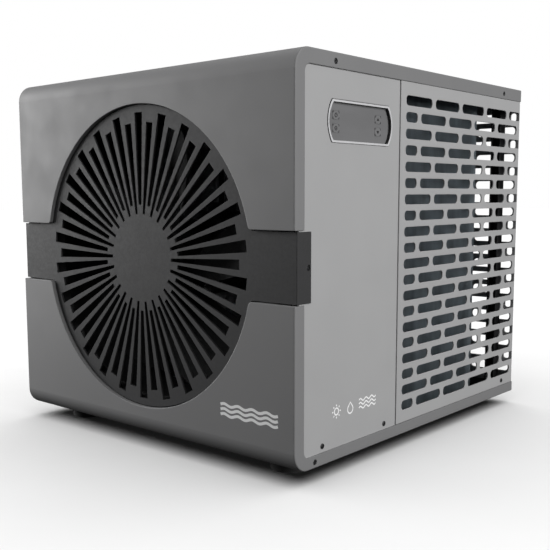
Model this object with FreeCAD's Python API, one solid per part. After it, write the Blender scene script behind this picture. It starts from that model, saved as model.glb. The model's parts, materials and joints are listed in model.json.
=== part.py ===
import FreeCAD, Part
import math
import os

# Small pool heat pump in a folded steel casing.
# Millimetres, +Z up, the fan grille faces -Y, the control panel faces +X, the feet stand on z = 0.
# The casing is modelled centred on x = 0 and moved by SHIFT_X when it is written, so that the
# whole unit, with its water unions on the left, is centred on the origin.

V = FreeCAD.Vector

# ---------------------------------------------------------------- casing
CASE_W = 340.0
CASE_D = 364.0
CASE_H = 310.0
FOOT_H = 12.0
SHEET = 1.2
FRONT_BEND_R = 16.0
FOLD_R = 1.1
RIM_FRONT = 11.0
RIM_TOP = 11.5
RIM_BOTTOM = 9.8
RIM_INNER_R = 6.0
LIP_SETBACK = 0.5
LIP_DEPTH = 4.2
# How far a cutting tool runs past the face it leaves.
PAST = 1.0
SIDE_HOLE_DEPTH = 20.0

X_OUT = CASE_W / 2
Y_FRONT = -CASE_D / 2
Y_REAR = CASE_D / 2
Z_LOW = FOOT_H
Z_HIGH = FOOT_H + CASE_H
X_IN = X_OUT - SHEET
Z_DECK = Z_LOW + SHEET
Z_ROOF = Z_HIGH - SHEET

# ---------------------------------------------------------------- grille insert
FAN_Z = FOOT_H + 153.0
OPENING_R = 128.2
BAND_HALF_H = 27.25
BAND_FILLET = 3.0
INSERT_SEAM = 1.0
INSERT_SETBACK = 3.0
INSERT_T = 2.0
INSERT_END_GAP = 0.1
INSERT_CORNER_R = 0.8
RETURN_REAR_Y = Y_FRONT + 19.1
RETURN_T = 1.1
SLOT_PAIRS = 26
LONG_SLOT = (45.0, 121.5, 4.55)
SHORT_SLOT = (37.2, 113.3, 4.15)
Y_INSERT = Y_FRONT + INSERT_SETBACK
Y_INSERT_BACK = Y_INSERT + INSERT_T

# ---------------------------------------------------------------- side and rear panels
SEAM_Y = -44.0
SEAM_GAP = 0.4
VENT_SETBACK = 0.3
VENT_CLEAR = 0.3
VENT_LAP = 3.0
PANEL_FRONT_Y = Y_FRONT + 6.0
PANEL_Z0 = Z_LOW + 3.0
PANEL_Z1 = Z_HIGH - 3.0
PANEL_CORNER_R = 9.0
WINDOW_Z0 = Z_LOW + RIM_BOTTOM
WINDOW_Z1 = Z_HIGH - RIM_TOP
X_PANEL = X_IN
X_PANEL_BACK = X_PANEL - SHEET
X_VENT = X_OUT - VENT_SETBACK
X_VENT_BACK = X_VENT - SHEET
SCREW_HEAD_T = 1.0
REAR_SINK = 0.5
Y_REAR_PANEL = Y_REAR - (SCREW_HEAD_T - REAR_SINK)
Y_REAR_PANEL_BACK = Y_REAR_PANEL - SHEET
Y_LAP = Y_REAR - SHEET
Y_LAP_BACK = Y_LAP - SHEET
VENT_ROWS = 20
VENT_ROW_PITCH = 13.6
VENT_TOP_Z = Z_LOW + 283.2
VENT_SLOT_L = 42.3
VENT_SLOT_H = 8.3
VENT_SLOT_R = 3.7
VENT_PITCH = 48.0
VENT_FIRST_Y = SEAM_Y + 8.5
VENT_SHORT_L = 18.5
REAR_FIRST_X = 165.6
REAR_STUB = (160.5, 166.4)
REAR_STUB_R = 2.4
REAR_SLOTS = 5
CORNER_R = 1.0

# ---------------------------------------------------------------- control display
DISPLAY_Y0 = -142.9
DISPLAY_Y1 = -55.3
DISPLAY_Z0 = Z_LOW + 244.1
DISPLAY_Z1 = Z_LOW + 276.4
DISPLAY_BULGE = 5.3
DISPLAY_CORNER_R = 1.6
BEZEL_GROOVE = 0.45
BEZEL_RING = 1.5
BEZEL_FLANGE_W = 2.0
BEZEL_FLANGE_T = 1.2
BEZEL_PROUD = 0.5
BEZEL_DEPTH = 8.8
WINDOW_INSET = BEZEL_GROOVE + BEZEL_RING
WINDOW_GAP = 0.1
WINDOW_SETBACK = 2.8
WINDOW_T = 2.0
KEY_W = 9.0
KEY_H = 6.6
KEY_CORNER_R = 0.9
KEY_GAP = 0.15
KEY_BACK_GAP = 0.3
KEY_TRAVEL = 0.6
KEY_PROUD = 0.15
KEY_FLANGE = 0.9
KEY_FLANGE_T = 1.0
KEY_ROOT = 0.2
SWITCH_HALF = 3.0
SWITCH_GAP = 0.15
MODULE_Y = (-119.0, -83.0)
MODULE_MARGIN = 5.0
MODULE_GAP = 0.2
KEY_Y = (-129.2, -72.8)
KEY_Z = (Z_LOW + 255.3, Z_LOW + 265.0)
KEY_NAMES = ("key_mode", "key_power", "key_down", "key_up")
X_BEZEL = X_PANEL + BEZEL_PROUD
X_WINDOW = X_BEZEL - WINDOW_SETBACK
X_WINDOW_BACK = X_WINDOW - WINDOW_T
X_BEZEL_BACK = X_PANEL - BEZEL_DEPTH
X_KEY_BACK = X_WINDOW_BACK - KEY_BACK_GAP - KEY_FLANGE_T
BOARD_T = 1.6
BOARD_Y_MARGIN = 6.0
BOARD_Z_MARGIN = 2.0

# ---------------------------------------------------------------- fan
RING_R = 119.6
RING_FRONT_Y = Y_FRONT + 12.0
RING_REAR_Y = -118.0
RING_T = 1.6
RING_STEP = 0.6
MOUTH_R = 126.0
SHROUD_PLATE_T = 1.5
SHROUD_HALF_W = 150.0
SHROUD_Z0 = Z_LOW + 12.0
SHROUD_Z1 = Z_HIGH - 12.0
STUD_X = 138.0
STUD_DZ = 124.0
STUD_R = 2.0
STUD_L = 11.0
STUD_BOSS_R = 5.0
STUD_CLEAR = 0.2
STUD_NUT = (3.9, 3.2)
BLADES = 5
BLADE_TIP_R = 113.0
BLADE_T = 2.4
HUB_R = 32.0
HUB_WALL = 3.0
HUB_NOSE_T = 14.0
HUB_NOSE_R = 7.0
HUB_BOSS_R = 10.0
BLADE_STATIONS = ((HUB_R - 2.0, 34.0, 48.0, 0.0), (60.0, 58.0, 36.0, 6.0),
                  (90.0, 78.0, 28.0, 15.0), (BLADE_TIP_R + 2.0, 88.0, 23.0, 26.0))
HUB_FRONT_Y = -163.0
HUB_REAR_Y = -121.0
BLADE_MID_Y = -142.0
SHAFT_R = 4.0
SHAFT_FIT = 0.05
HUB_FIT = 0.02
SHAFT_FRONT_Y = -172.0
MOTOR_R = 38.0
MOTOR_FRONT_Y = -106.0
MOTOR_REAR_Y = -52.0
MOTOR_EDGE_R = 4.0
MOTOR_BOSS = (13.0, 5.0)
MOTOR_CAP_T = 3.0
MOTOR_LEAD_BOX = (9.0, -90.0, -70.0, 8.0)
MOTOR_BOLT_R = 31.0
MOTOR_SCREW_R = 2.0
MOTOR_SCREW_L = 8.0
MOTOR_SCREW_HEAD = (4.0, 3.0)
FAN_NUT = (8.0, 5.0)
BRACKET_T = 1.6
BRACKET_PLATE = (42.0, 46.0)
BRACKET_LEG_X = (22.0, 34.0)
BRACKET_DEPTH = 12.0

# ---------------------------------------------------------------- refrigeration layout (plan positions)
WALL_X = -62.0
WALL_FRONT_Y = -96.0
COIL_X = 150.0
COIL_Y = 165.0
COIL_T = 22.0
COIL_BEND_R = 50.0
COIL_FRONT_Y = -35.0
COIL_LEFT_X = -45.0
END_PLATE_T = 1.5
BEND_COUNT = 12
BEND_PITCH = 21.0
BEND_TUBE_R = 3.6
BEND_R = 6.0
BEND_LEG = 3.0
BEND_FIRST_Z = 24.0
BEND_INSET = 5.0
COIL_Z0 = Z_DECK + 2.0
COIL_Z1 = Z_ROOF - 12.0
PLANT_X = -114.0
COMPRESSOR_Y = -40.0
COMPRESSOR_R = 46.0
COMPRESSOR_Z0 = 30.0
COMPRESSOR_Z1 = 204.0
COMPRESSOR_DOME_R = 15.0
BASE_Z0 = 27.0
BASE_Z1 = 31.0
BASE_HALF = 49.0
BASE_CORNER_R = 12.0
DISCHARGE_R = 6.0
DISCHARGE_Z1 = 214.0
SUCTION_STUB = (7.0, 30.0, 52.0)
SUCTION_STUB_Z = 50.0
TERMINAL_DX = -20.0
TERMINAL_DY = -8.0
TERMINAL_R = 9.0
COVER_R = 14.0
COVER_BORE = 10.0
COVER_Z = (205.0, 208.0, 220.0)
GROMMET_OFFSET = 40.0
GROMMET_R = 8.5
GROMMET_BORE = 4.2
BOLT_R = 4.0
BOLT_HEAD = (7.5, 5.0)
ACCUMULATOR_Y = 33.0
ACCUMULATOR_R = 19.0
ACCUMULATOR_Z0 = 64.0
ACCUMULATOR_Z1 = 164.0
ACCUMULATOR_DOME_R = 9.0
ACCUMULATOR_TOP_Z = 172.0
EXCHANGER_Y = 108.0
EXCHANGER_R = 45.0
EXCHANGER_Z0 = 30.0
EXCHANGER_Z1 = 232.0
EXCHANGER_EDGE_R = 8.0
EXCHANGER_BOSS_R = 27.0
EXCHANGER_BOSS_L = 46.0
EXCHANGER_STUB_L = 8.0
EXCHANGER_STUB_R = (6.0, 5.0)
EXCHANGER_BORE_DX = -20.0
CONDENSER_DY = 8.0
LIQUID_DX = 26.0
LIQUID_DY = -18.0
CRADLE_RIM = (9.0, 24.0)
WATER_Z = (76.0, 182.0)
VALVE_Z = 276.0
VALVE_R = 11.0
VALVE_Y = (82.0, 148.0)
VALVE_PORT_Y = (98.0, 116.0, 134.0)
VALVE_PORT_R = 6.0
VALVE_PORT_L = 18.0
VALVE_TOP_L = 22.0
VALVE_COIL_HALF = 12.0
VALVE_COIL_Y0 = 58.0
VALVE_COIL_R = 4.0
DRIER_X = -78.0
DRIER_Y = 55.0
DRIER_R = 9.0
DRIER_Z = (94.0, 100.0, 170.0, 176.0)
DRIER_EDGE_R = 4.0
DRIER_STUB_R = 3.6
SUCTION_Z = 244.0
PIPE_R = 4.8
SLIM_PIPE_R = 4.0
LIQUID_R = 3.2
CAPILLARY_R = 1.6
COIL_LINE_Y = COIL_Y - 16.0
COIL_LINE_Z = 248.0
CAPILLARY_Z = 60.0
LINE_CLEAR = 1.0
DISCHARGE_RISER_DX = -36.0
DISCHARGE_RISER_Y = 68.0
DISCHARGE_LOW_Z = 235.0
DISCHARGE_TOP_Z = 306.0
LIQUID_TOP_Z = 254.0
PIPE_BEND_R = 8.0
SLIM_BEND_R = 7.5
LOW_BEND_R = 9.0
COIL_BEND_LINE_R = 6.5
CAPILLARY_BEND_R = 5.0
CAPILLARY_X = WALL_X + 8.0
EVAPORATOR_TURN_DX = (22.0, 34.0)

# ---------------------------------------------------------------- water unions, left side
NOZZLE_R = 24.0
NOZZLE_BORE = 16.0
NOZZLE_END_X = -190.0
NOZZLE_CLEAR = 0.4
NOZZLE_COLLAR = (29.0, 3.0)
SEAL_T = 2.0
SEAL_INSET = 0.6
TAIL_FLANGE_T = 4.0
TAIL_NECK_R = 18.4
TAIL_NECK_L = 4.0
TAIL_BORE = 13.0
TAIL_38_R = 19.0
TAIL_32_R = 16.0
TAIL_38_L = 16.0
TAIL_32_L = 20.0
NUT_R = 30.0
NUT_FIT = 0.06
NUT_START_GAP = 6.0
NUT_SHOULDER_GAP = 0.2
NUT_CAP_T = 3.0
NUT_THROAT_CLEAR = 0.4
NUT_RIBS = 10
NUT_RIB_W = 5.0
NUT_RIB_H = 2.0
TAIL_X = NOZZLE_END_X - SEAL_T
REACH_X = TAIL_X - TAIL_FLANGE_T - TAIL_NECK_L - TAIL_38_L - TAIL_32_L

# ---------------------------------------------------------------- small parts
SCREW_HEAD_R = 2.15
SCREW_R = 1.4
SCREW_CLEAR = 0.1
SCREW_L = 5.0
RIM_SCREWS = ((-134.2, Z_LOW + 303.3), (143.7, Z_LOW + 303.3), (-157.4, Z_LOW + 4.6))
PANEL_SCREWS = ((-147.1, Z_LOW + 14.7), (-61.6, Z_LOW + 14.7), (156.6, Z_LOW + 15.0))
REAR_SCREWS = ((150.0, Z_LOW + 15.0), (0.0, Z_LOW + 15.0), (-155.0, Z_LOW + 15.0),
               (150.0, Z_HIGH - 16.0), (0.0, Z_HIGH - 16.0), (-155.0, Z_HIGH - 16.0))
RETURN_SCREW_Y = Y_FRONT + 16.0
FOOT_X = 130.0
FOOT_Y = 140.0
FOOT_R = 16.0
FOOT_TAPER = 1.5
FOOT_RECESS = 5.0
FOOT_RECESS_R = 5.0
FOOT_SCREW_R = 2.0
FOOT_SCREW_CLEAR = 0.1
FOOT_SCREW_HEAD = (4.0, 2.4)
POST_X = (145.0, 155.0)
POST_Y0 = 169.0
MULLION_X0 = 157.0
MULLION_Y = (-53.0, -40.0)
GLAND_Y = -75.0
GLAND_Z = 283.0
GLAND_BORE = 4.2
GLAND_THREAD_R = 8.0
GLAND_HOLE_R = 8.2
GLAND_FIT = 0.05
GLAND_HEX = (12.0, 7.0)
GLAND_DOME = (9.6, 10.0)
GLAND_TIP_R = 4.0
GLAND_NUT = (11.5, 5.0)
GLAND_THREAD_PAST = 9.0
BOX_X0 = -165.0
BOX_X1 = -66.0
BOX_Y0 = -93.0
BOX_Y1 = 50.0
BOX_Z0 = 250.0
BOX_Z1 = 312.0
BOX_FLOOR = BOX_Z0 + SHEET
MAIN_BOARD = (-156.0, -74.0, -56.0, 44.0)
MAIN_BOARD_Z = 262.0
MAIN_BOARD_TOP = MAIN_BOARD_Z + BOARD_T
STANDOFF_R = 3.0
STANDOFF_INSET = 5.0
RELAYS = ((-150.0, -132.0, -48.0, -22.0, 16.0), (-128.0, -112.0, -48.0, -22.0, 16.0),
          (-104.0, -80.0, -46.0, -16.0, 22.0), (-106.0, -84.0, 0.0, 30.0, 6.0))
CAPACITORS = ((-140.0, 0.0), (-118.0, 0.0))
CAPACITOR_R = 8.0
CAPACITOR_H = 24.0
TRANSFORMER = (-150.0, -118.0, 14.0, 36.0, 30.0, 5.0)
TERMINAL_BLOCK = (-148.0, -92.0, -88.0, -62.0, 14.0)
TERMINAL_FIRST = (-142.0, -75.0)
TERMINAL_PITCH = 11.0
TERMINAL_COUNT = 5
TERMINAL_WELL = (3.6, 6.0)
LEAD_R = 2.4
LEAD_HOLE_R = 3.5
DISPLAY_LEAD_YZ = (-80.0, 300.0)
MOTOR_LEAD_YZ = (-66.0, 292.0)
LEAD_BEND_R = 8.0
DISPLAY_LEAD_TURN_X = 110.0
DISPLAY_LEAD_DROP = (138.0, -100.0)
DISPLAY_LEAD_Z = (294.0, 272.0)
MOTOR_LEAD_TURN = (-20.0, 270.0)
DRAIN_X = 40.0
DRAIN_Y = 60.0
DRAIN_R = 8.0
DRAIN_BORE = 6.0
DRAIN_CLEAR = 0.2
DRAIN_Z0 = 3.0
DRAIN_COLLAR_R = 11.0
DRAIN_COLLAR_T = 1.5
PAN_X0 = -58.0
PAN_X1 = 156.0
PAN_Y0 = -58.0
PAN_Y1 = 168.0
PAN_WALL = 2.0
PAN_H = 11.0
PAN_NOTCH = (36.0, -36.0)

SHIFT_X = -(X_OUT + REACH_X) / 2

X_AXIS = V(1, 0, 0)
Y_AXIS = V(0, 1, 0)
Z_AXIS = V(0, 0, 1)
LEFTWARD = V(-1, 0, 0)
DOWNWARD = V(0, 0, -1)


# ---------------------------------------------------------------- shape helpers
def box(x0, x1, y0, y1, z0, z1):
    return Part.makeBox(x1 - x0, y1 - y0, z1 - z0, V(x0, y0, z0))


def rod(start, axis, radius, length):
    return Part.makeCylinder(radius, length, start, axis)


def tube(start, axis, outer, inner, length):
    return rod(start, axis, outer, length).cut(rod(start, axis, inner, length))


def edges_along(shape, axis, test=None):
    picked = []
    for edge in shape.Edges:
        first = edge.Vertexes[0].Point
        last = edge.Vertexes[-1].Point
        span = last.sub(first)
        if span.Length < 1e-6 or span.cross(axis).Length > 1e-6:
            continue
        middle = first.add(last).multiply(0.5)
        if test is None or test(middle):
            picked.append(edge)
    return picked


def rounded_box(x0, x1, y0, y1, z0, z1, axis, radius):
    plain = box(x0, x1, y0, y1, z0, z1)
    return plain.makeFillet(radius, edges_along(plain, axis))


def round_rims(shape, radius):
    """Rounds every circular edge of a plain cylinder."""
    return shape.makeFillet(radius, [edge for edge in shape.Edges if edge.Curve.TypeId == "Part::GeomCircle"])


def rim_at(shape, axis, place):
    """The edges whose centre lies at the given distance along an axis."""
    return [edge for edge in shape.Edges if abs(edge.CenterOfMass.dot(axis) - place) < 0.1]


def join(shapes):
    whole = shapes[0]
    if len(shapes) > 1:
        whole = shapes[0].multiFuse(shapes[1:])
    return whole.removeSplitter()


def cut_all(shape, tools):
    return shape.cut(Part.makeCompound(tools)) if tools else shape


def prism(points, along):
    wire = Part.makePolygon([V(*p) for p in points + [points[0]]])
    return Part.Face(wire).extrude(along)


def mirrored(shape):
    return shape.mirror(V(0, 0, 0), X_AXIS)


def pipe(points, radius, bend):
    """A round bar along straight runs joined by tangent arcs of the given bend radius."""
    path = [V(*p) for p in points]
    edges = []
    start = path[0]
    for before, corner, after in zip(path, path[1:], path[2:]):
        into = corner.sub(before).normalize()
        out = after.sub(corner).normalize()
        turn = into.getAngle(out)
        reach = bend * math.tan(turn / 2)
        first = corner.sub(V(into).multiply(reach))
        last = corner.add(V(out).multiply(reach))
        inward = V(out).sub(into).normalize()
        middle = corner.add(inward.multiply(bend / math.cos(turn / 2) - bend))
        edges.append(Part.LineSegment(start, first).toShape())
        edges.append(Part.Arc(first, middle, last).toShape())
        start = last
    edges.append(Part.LineSegment(start, path[-1]).toShape())
    heading = path[1].sub(path[0])
    profile = Part.Wire(Part.Circle(path[0], heading, radius).toShape())
    return Part.Wire(edges).makePipeShell([profile], True, True)


# ---------------------------------------------------------------- casing shells
def casing_block(inset):
    """The outside of the casing, moved in by the given thickness."""
    block = box(-X_OUT + inset, X_OUT - inset, Y_FRONT + inset, Y_REAR - inset, Z_LOW + inset, Z_HIGH - inset)
    front_edges = edges_along(block, X_AXIS, lambda p: p.y < 0)
    return block.makeFillet(FRONT_BEND_R - inset, front_edges)


def fold_side_edges(block):
    side = [face for face in block.Faces if abs(abs(face.CenterOfMass.x) - X_OUT) < 1e-6]
    picked = []
    for face in side:
        for edge in face.Edges:
            if edge.CenterOfMass.y < Y_REAR - 1:
                picked.append(edge)
    return block.makeFillet(FOLD_R, picked)


def front_opening(grow, y0, y1):
    """The round fan opening with the band across it, rounded where the two meet."""
    radius = OPENING_R + grow
    half = BAND_HALF_H + grow
    disc = rod(V(0, y0, FAN_Z), Y_AXIS, radius, y1 - y0)
    band = box(-X_OUT - PAST, X_OUT + PAST, y0, y1, FAN_Z - half, FAN_Z + half)
    whole = disc.fuse(band).removeSplitter()
    meet_x = math.sqrt(radius ** 2 - half ** 2)
    meeting = edges_along(whole, Y_AXIS, lambda p: abs(abs(p.x) - meet_x) < 0.1)
    return whole.makeFillet(BAND_FILLET - grow, meeting)


def side_hole(y, z, radius, side):
    """A cutter into the side of the casing, deep enough for every sheet in line with it."""
    start = V(side * (X_OUT + PAST), y, z)
    return rod(start, V(-side, 0, 0), radius, SIDE_HOLE_DEPTH)


def make_shells():
    shell = fold_side_edges(casing_block(0.0)).cut(casing_block(SHEET))
    window = rounded_box(-X_OUT - PAST, X_OUT + PAST, Y_FRONT + RIM_FRONT, Y_REAR + CASE_D, WINDOW_Z0,
                         WINDOW_Z1, X_AXIS, RIM_INNER_R)
    opening = front_opening(0.0, Y_FRONT - PAST, Y_FRONT + RIM_FRONT + PAST)
    lip = front_opening(SHEET, Y_FRONT + LIP_SETBACK, Y_FRONT + LIP_DEPTH)
    lip = lip.common(box(-X_IN, X_IN, Y_FRONT, 0, Z_LOW, Z_HIGH))
    shell = shell.cut(window).fuse(lip).cut(opening)
    holes = []
    for side in (-1, 1):
        for y, z in RIM_SCREWS:
            holes.append(side_hole(y, z, SCREW_HEAD_R + SCREW_CLEAR, side))
    for x, y in foot_places():
        holes.append(rod(V(x, y, 0), Z_AXIS, FOOT_SCREW_R + FOOT_SCREW_CLEAR, Z_DECK + PAST))
    holes.append(rod(V(DRAIN_X, DRAIN_Y, 0), Z_AXIS, DRAIN_R + DRAIN_CLEAR, Z_DECK + PAST))
    shell = cut_all(shell, holes).removeSplitter()
    lower, upper = sorted(shell.Solids, key=lambda s: s.CenterOfMass.z)
    return upper, lower


def make_front_grille():
    """The slotted disc with the band across it; the band's ends fold back onto the sides."""
    insert = front_opening(-INSERT_SEAM, Y_INSERT, Y_INSERT_BACK)
    width = X_OUT - INSERT_END_GAP
    insert = insert.common(box(-width, width, Y_FRONT, 0, 0, Z_HIGH))
    half = BAND_HALF_H - INSERT_SEAM
    fold = box(width - RETURN_T, width, Y_INSERT, RETURN_REAR_Y, FAN_Z - half, FAN_Z + half)
    insert = join([insert, fold, mirrored(fold)])
    corners = edges_along(insert, Z_AXIS, lambda p: p.y < Y_INSERT + 0.1)
    insert = insert.makeFillet(INSERT_CORNER_R, corners)
    slots = []
    step = 360.0 / (2 * SLOT_PAIRS)
    for number in range(2 * SLOT_PAIRS):
        inner, outer, spread = LONG_SLOT if number % 2 == 0 else SHORT_SLOT
        slots.append(radial_slot(inner, outer, spread, 90.0 + number * step))
    for side in (-1, 1):
        slots.append(side_hole(RETURN_SCREW_Y, FAN_Z, SCREW_HEAD_R + SCREW_CLEAR, side))
    return cut_all(insert, slots)


def radial_slot(inner, outer, spread, angle):
    """A tapered slot with straight ends, from radius inner to outer about the fan axis."""
    half = math.radians(spread / 2)
    corners = []
    for radius, offset in ((inner, -half), (outer, -half), (outer, half), (inner, half)):
        turn = math.radians(angle) + offset
        corners.append((radius * math.cos(turn), Y_INSERT - PAST, FAN_Z + radius * math.sin(turn)))
    return prism(corners, V(0, INSERT_T + 2 * PAST, 0))


# ---------------------------------------------------------------- side panels
def display_outline(inset):
    """Flat top and bottom with bulged ends, in the plane x = 0."""
    y0 = DISPLAY_Y0 + inset
    y1 = DISPLAY_Y1 - inset
    z0 = DISPLAY_Z0 + inset
    z1 = DISPLAY_Z1 - inset
    middle = (z0 + z1) / 2
    bulge = DISPLAY_BULGE
    edges = [Part.LineSegment(V(0, y0 + bulge, z0), V(0, y1 - bulge, z0)).toShape(),
             Part.Arc(V(0, y1 - bulge, z0), V(0, y1, middle), V(0, y1 - bulge, z1)).toShape(),
             Part.LineSegment(V(0, y1 - bulge, z1), V(0, y0 + bulge, z1)).toShape(),
             Part.Arc(V(0, y0 + bulge, z1), V(0, y0, middle), V(0, y0 + bulge, z0)).toShape()]
    return Part.Face(Part.Wire(edges))


def display_block(inset, x0, x1):
    block = display_outline(inset).extrude(V(x1 - x0, 0, 0))
    block.translate(V(x0, 0, 0))
    return block.makeFillet(max(DISPLAY_CORNER_R - inset / 2, 0.4), edges_along(block, X_AXIS))


def side_sheet(x0, x1, rear_y):
    """A flat side sheet whose two front corners clear the bends of the shells."""
    sheet = box(x0, x1, PANEL_FRONT_Y, rear_y, PANEL_Z0, PANEL_Z1)
    return sheet.makeFillet(PANEL_CORNER_R, edges_along(sheet, X_AXIS, lambda p: p.y < SEAM_Y))


def make_control_cover():
    cover = side_sheet(X_PANEL_BACK, X_PANEL, SEAM_Y - SEAM_GAP / 2)
    cuts = [display_block(0.0, X_PANEL_BACK - PAST, X_PANEL + PAST)]
    for y, z in RIM_SCREWS + PANEL_SCREWS:
        cuts.append(side_hole(y, z, SCREW_R + SCREW_CLEAR, 1))
    cuts.append(side_hole(RETURN_SCREW_Y, FAN_Z, SCREW_R + SCREW_CLEAR, 1))
    return cut_all(cover, cuts)


def vent_slot(x0, x1, y0, y1, z, axis, radius=VENT_SLOT_R):
    return rounded_box(x0, x1, y0, y1, z - VENT_SLOT_H / 2, z + VENT_SLOT_H / 2, axis, radius)


def vent_row_z(row):
    return VENT_TOP_Z - VENT_ROW_PITCH * row


def side_vent_spans(row):
    """Start and end of each slot along Y: every second row starts with a short slot, and the
    other rows end with one that is open at the rear corner."""
    start = VENT_FIRST_Y
    spans = []
    if row % 2 == 1:
        spans.append((start, start + VENT_SHORT_L))
        start = start + VENT_PITCH / 2
    while start + VENT_SLOT_L < Y_REAR_PANEL_BACK:
        spans.append((start, start + VENT_SLOT_L))
        start = start + VENT_PITCH
    if row % 2 == 0:
        spans.append((start, Y_REAR_PANEL_BACK + VENT_SLOT_R))
    return spans


def make_vent_panel():
    """A sheet flush with the rims of the shells, on a frame of its own that laps behind them."""
    y0 = SEAM_Y + SEAM_GAP / 2
    sheet = box(X_VENT_BACK, X_VENT, y0, Y_REAR_PANEL_BACK, WINDOW_Z0 + VENT_CLEAR, WINDOW_Z1 - VENT_CLEAR)
    lap = box(X_PANEL_BACK, X_PANEL, y0, Y_LAP_BACK, PANEL_Z0, PANEL_Z1)
    middle = box(X_PANEL_BACK, X_PANEL, y0 + VENT_LAP, Y_REAR, WINDOW_Z0 + VENT_LAP, WINDOW_Z1 - VENT_LAP)
    panel = join([sheet, lap.cut(middle)])
    cuts = []
    for row in range(VENT_ROWS):
        for start, end in side_vent_spans(row):
            cuts.append(vent_slot(X_PANEL_BACK - PAST, X_VENT + PAST, start, end, vent_row_z(row), X_AXIS))
    for y, z in RIM_SCREWS + PANEL_SCREWS:
        cuts.append(side_hole(y, z, SCREW_R + SCREW_CLEAR, 1))
    return cut_all(panel, cuts)


def make_rear_panel():
    """The louvred back, flush in the rear opening, on a frame that laps behind the shells."""
    sheet = box(-X_PANEL, X_VENT, Y_REAR_PANEL_BACK, Y_REAR_PANEL, WINDOW_Z0 + VENT_CLEAR,
                WINDOW_Z1 - VENT_CLEAR)
    lap = box(-X_PANEL, X_PANEL_BACK, Y_LAP_BACK, Y_LAP, PANEL_Z0, PANEL_Z1)
    middle = box(-X_OUT, X_OUT, Y_LAP_BACK, Y_LAP, WINDOW_Z0 + VENT_LAP, WINDOW_Z1 - VENT_LAP)
    panel = join([sheet, lap.cut(middle)])
    outer_edge = edges_along(panel, Z_AXIS, lambda p: p.x > X_VENT - 0.1 and p.y > Y_REAR_PANEL - 0.1)
    panel = panel.makeFillet(CORNER_R, outer_edge)
    y0 = Y_LAP_BACK - PAST
    y1 = Y_REAR_PANEL + PAST
    cuts = []
    for row in range(VENT_ROWS):
        z = vent_row_z(row)
        end = REAR_FIRST_X
        if row % 2 == 0:
            cuts.append(vent_slot(REAR_STUB[0], REAR_STUB[1], y0, y1, z, Y_AXIS, REAR_STUB_R))
            end = REAR_STUB[0] - (VENT_PITCH - VENT_SLOT_L)
        for number in range(REAR_SLOTS):
            right = end - number * VENT_PITCH
            cuts.append(vent_slot(right - VENT_SLOT_L, right, y0, y1, z, Y_AXIS))
    for x, z in REAR_SCREWS:
        cuts.append(rod(V(x, y0, z), Y_AXIS, SCREW_R + SCREW_CLEAR, y1 - y0))
        cuts.append(rod(V(x, Y_REAR_PANEL - REAR_SINK, z), Y_AXIS, SCREW_HEAD_R + SCREW_CLEAR, y1 - y0))
    return cut_all(panel, cuts)


def make_left_panel():
    panel = side_sheet(-X_PANEL, -X_PANEL_BACK, Y_LAP_BACK)
    cuts = []
    for y, z in RIM_SCREWS + PANEL_SCREWS:
        cuts.append(side_hole(y, z, SCREW_R + SCREW_CLEAR, -1))
    cuts.append(side_hole(RETURN_SCREW_Y, FAN_Z, SCREW_R + SCREW_CLEAR, -1))
    for z in WATER_Z:
        cuts.append(side_hole(EXCHANGER_Y, z, NOZZLE_R + NOZZLE_CLEAR, -1))
    cuts.append(side_hole(GLAND_Y, GLAND_Z, GLAND_HOLE_R, -1))
    return cut_all(panel, cuts)


# ---------------------------------------------------------------- posts, feet and pan
def make_post(side):
    """A channel behind the rear panel, closed at both ends and open to the front."""
    inner, outer = POST_X
    post = box(inner, outer, POST_Y0, Y_LAP_BACK, Z_DECK, Z_ROOF)
    hollow = box(inner + SHEET, outer - SHEET, POST_Y0 - PAST, Y_LAP_BACK - SHEET, Z_DECK + SHEET,
                 Z_ROOF - SHEET)
    post = post.cut(hollow)
    if side < 0:
        post = mirrored(post)
    reach = Y_REAR - POST_Y0
    holes = [rod(V(x, POST_Y0 + PAST, z), Y_AXIS, SCREW_R + SCREW_CLEAR, reach) for x, z in REAR_SCREWS]
    return cut_all(post, holes)


def make_side_mullion():
    """The channel behind the seam between the control cover and the vent panel."""
    y0, y1 = MULLION_Y
    outer = box(MULLION_X0, X_PANEL_BACK, y0, y1, Z_DECK, Z_ROOF)
    hollow = box(MULLION_X0 - PAST, X_PANEL_BACK - SHEET, y0 + SHEET, y1 - SHEET, Z_DECK + SHEET,
                 Z_ROOF - SHEET)
    return outer.cut(hollow)


def foot_places():
    return [(x, y) for x in (-FOOT_X, FOOT_X) for y in (-FOOT_Y, FOOT_Y)]


def make_feet():
    feet = []
    for x, y in foot_places():
        base = V(x, y, 0)
        foot = Part.makeCone(FOOT_R - FOOT_TAPER, FOOT_R, FOOT_H, base, Z_AXIS)
        recess = rod(base, Z_AXIS, FOOT_RECESS_R, FOOT_RECESS)
        hole = rod(base, Z_AXIS, FOOT_SCREW_R + FOOT_SCREW_CLEAR, FOOT_H)
        feet.append(cut_all(foot, [recess, hole]))
    return Part.makeCompound(feet)


def make_foot_screws():
    head_r, head_t = FOOT_SCREW_HEAD
    screws = []
    for x, y in foot_places():
        head = rod(V(x, y, FOOT_RECESS - head_t), Z_AXIS, head_r, head_t)
        shank = rod(V(x, y, FOOT_RECESS), Z_AXIS, FOOT_SCREW_R, Z_DECK - FOOT_RECESS)
        screws.append(join([head, shank]))
    return Part.makeCompound(screws)


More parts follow.
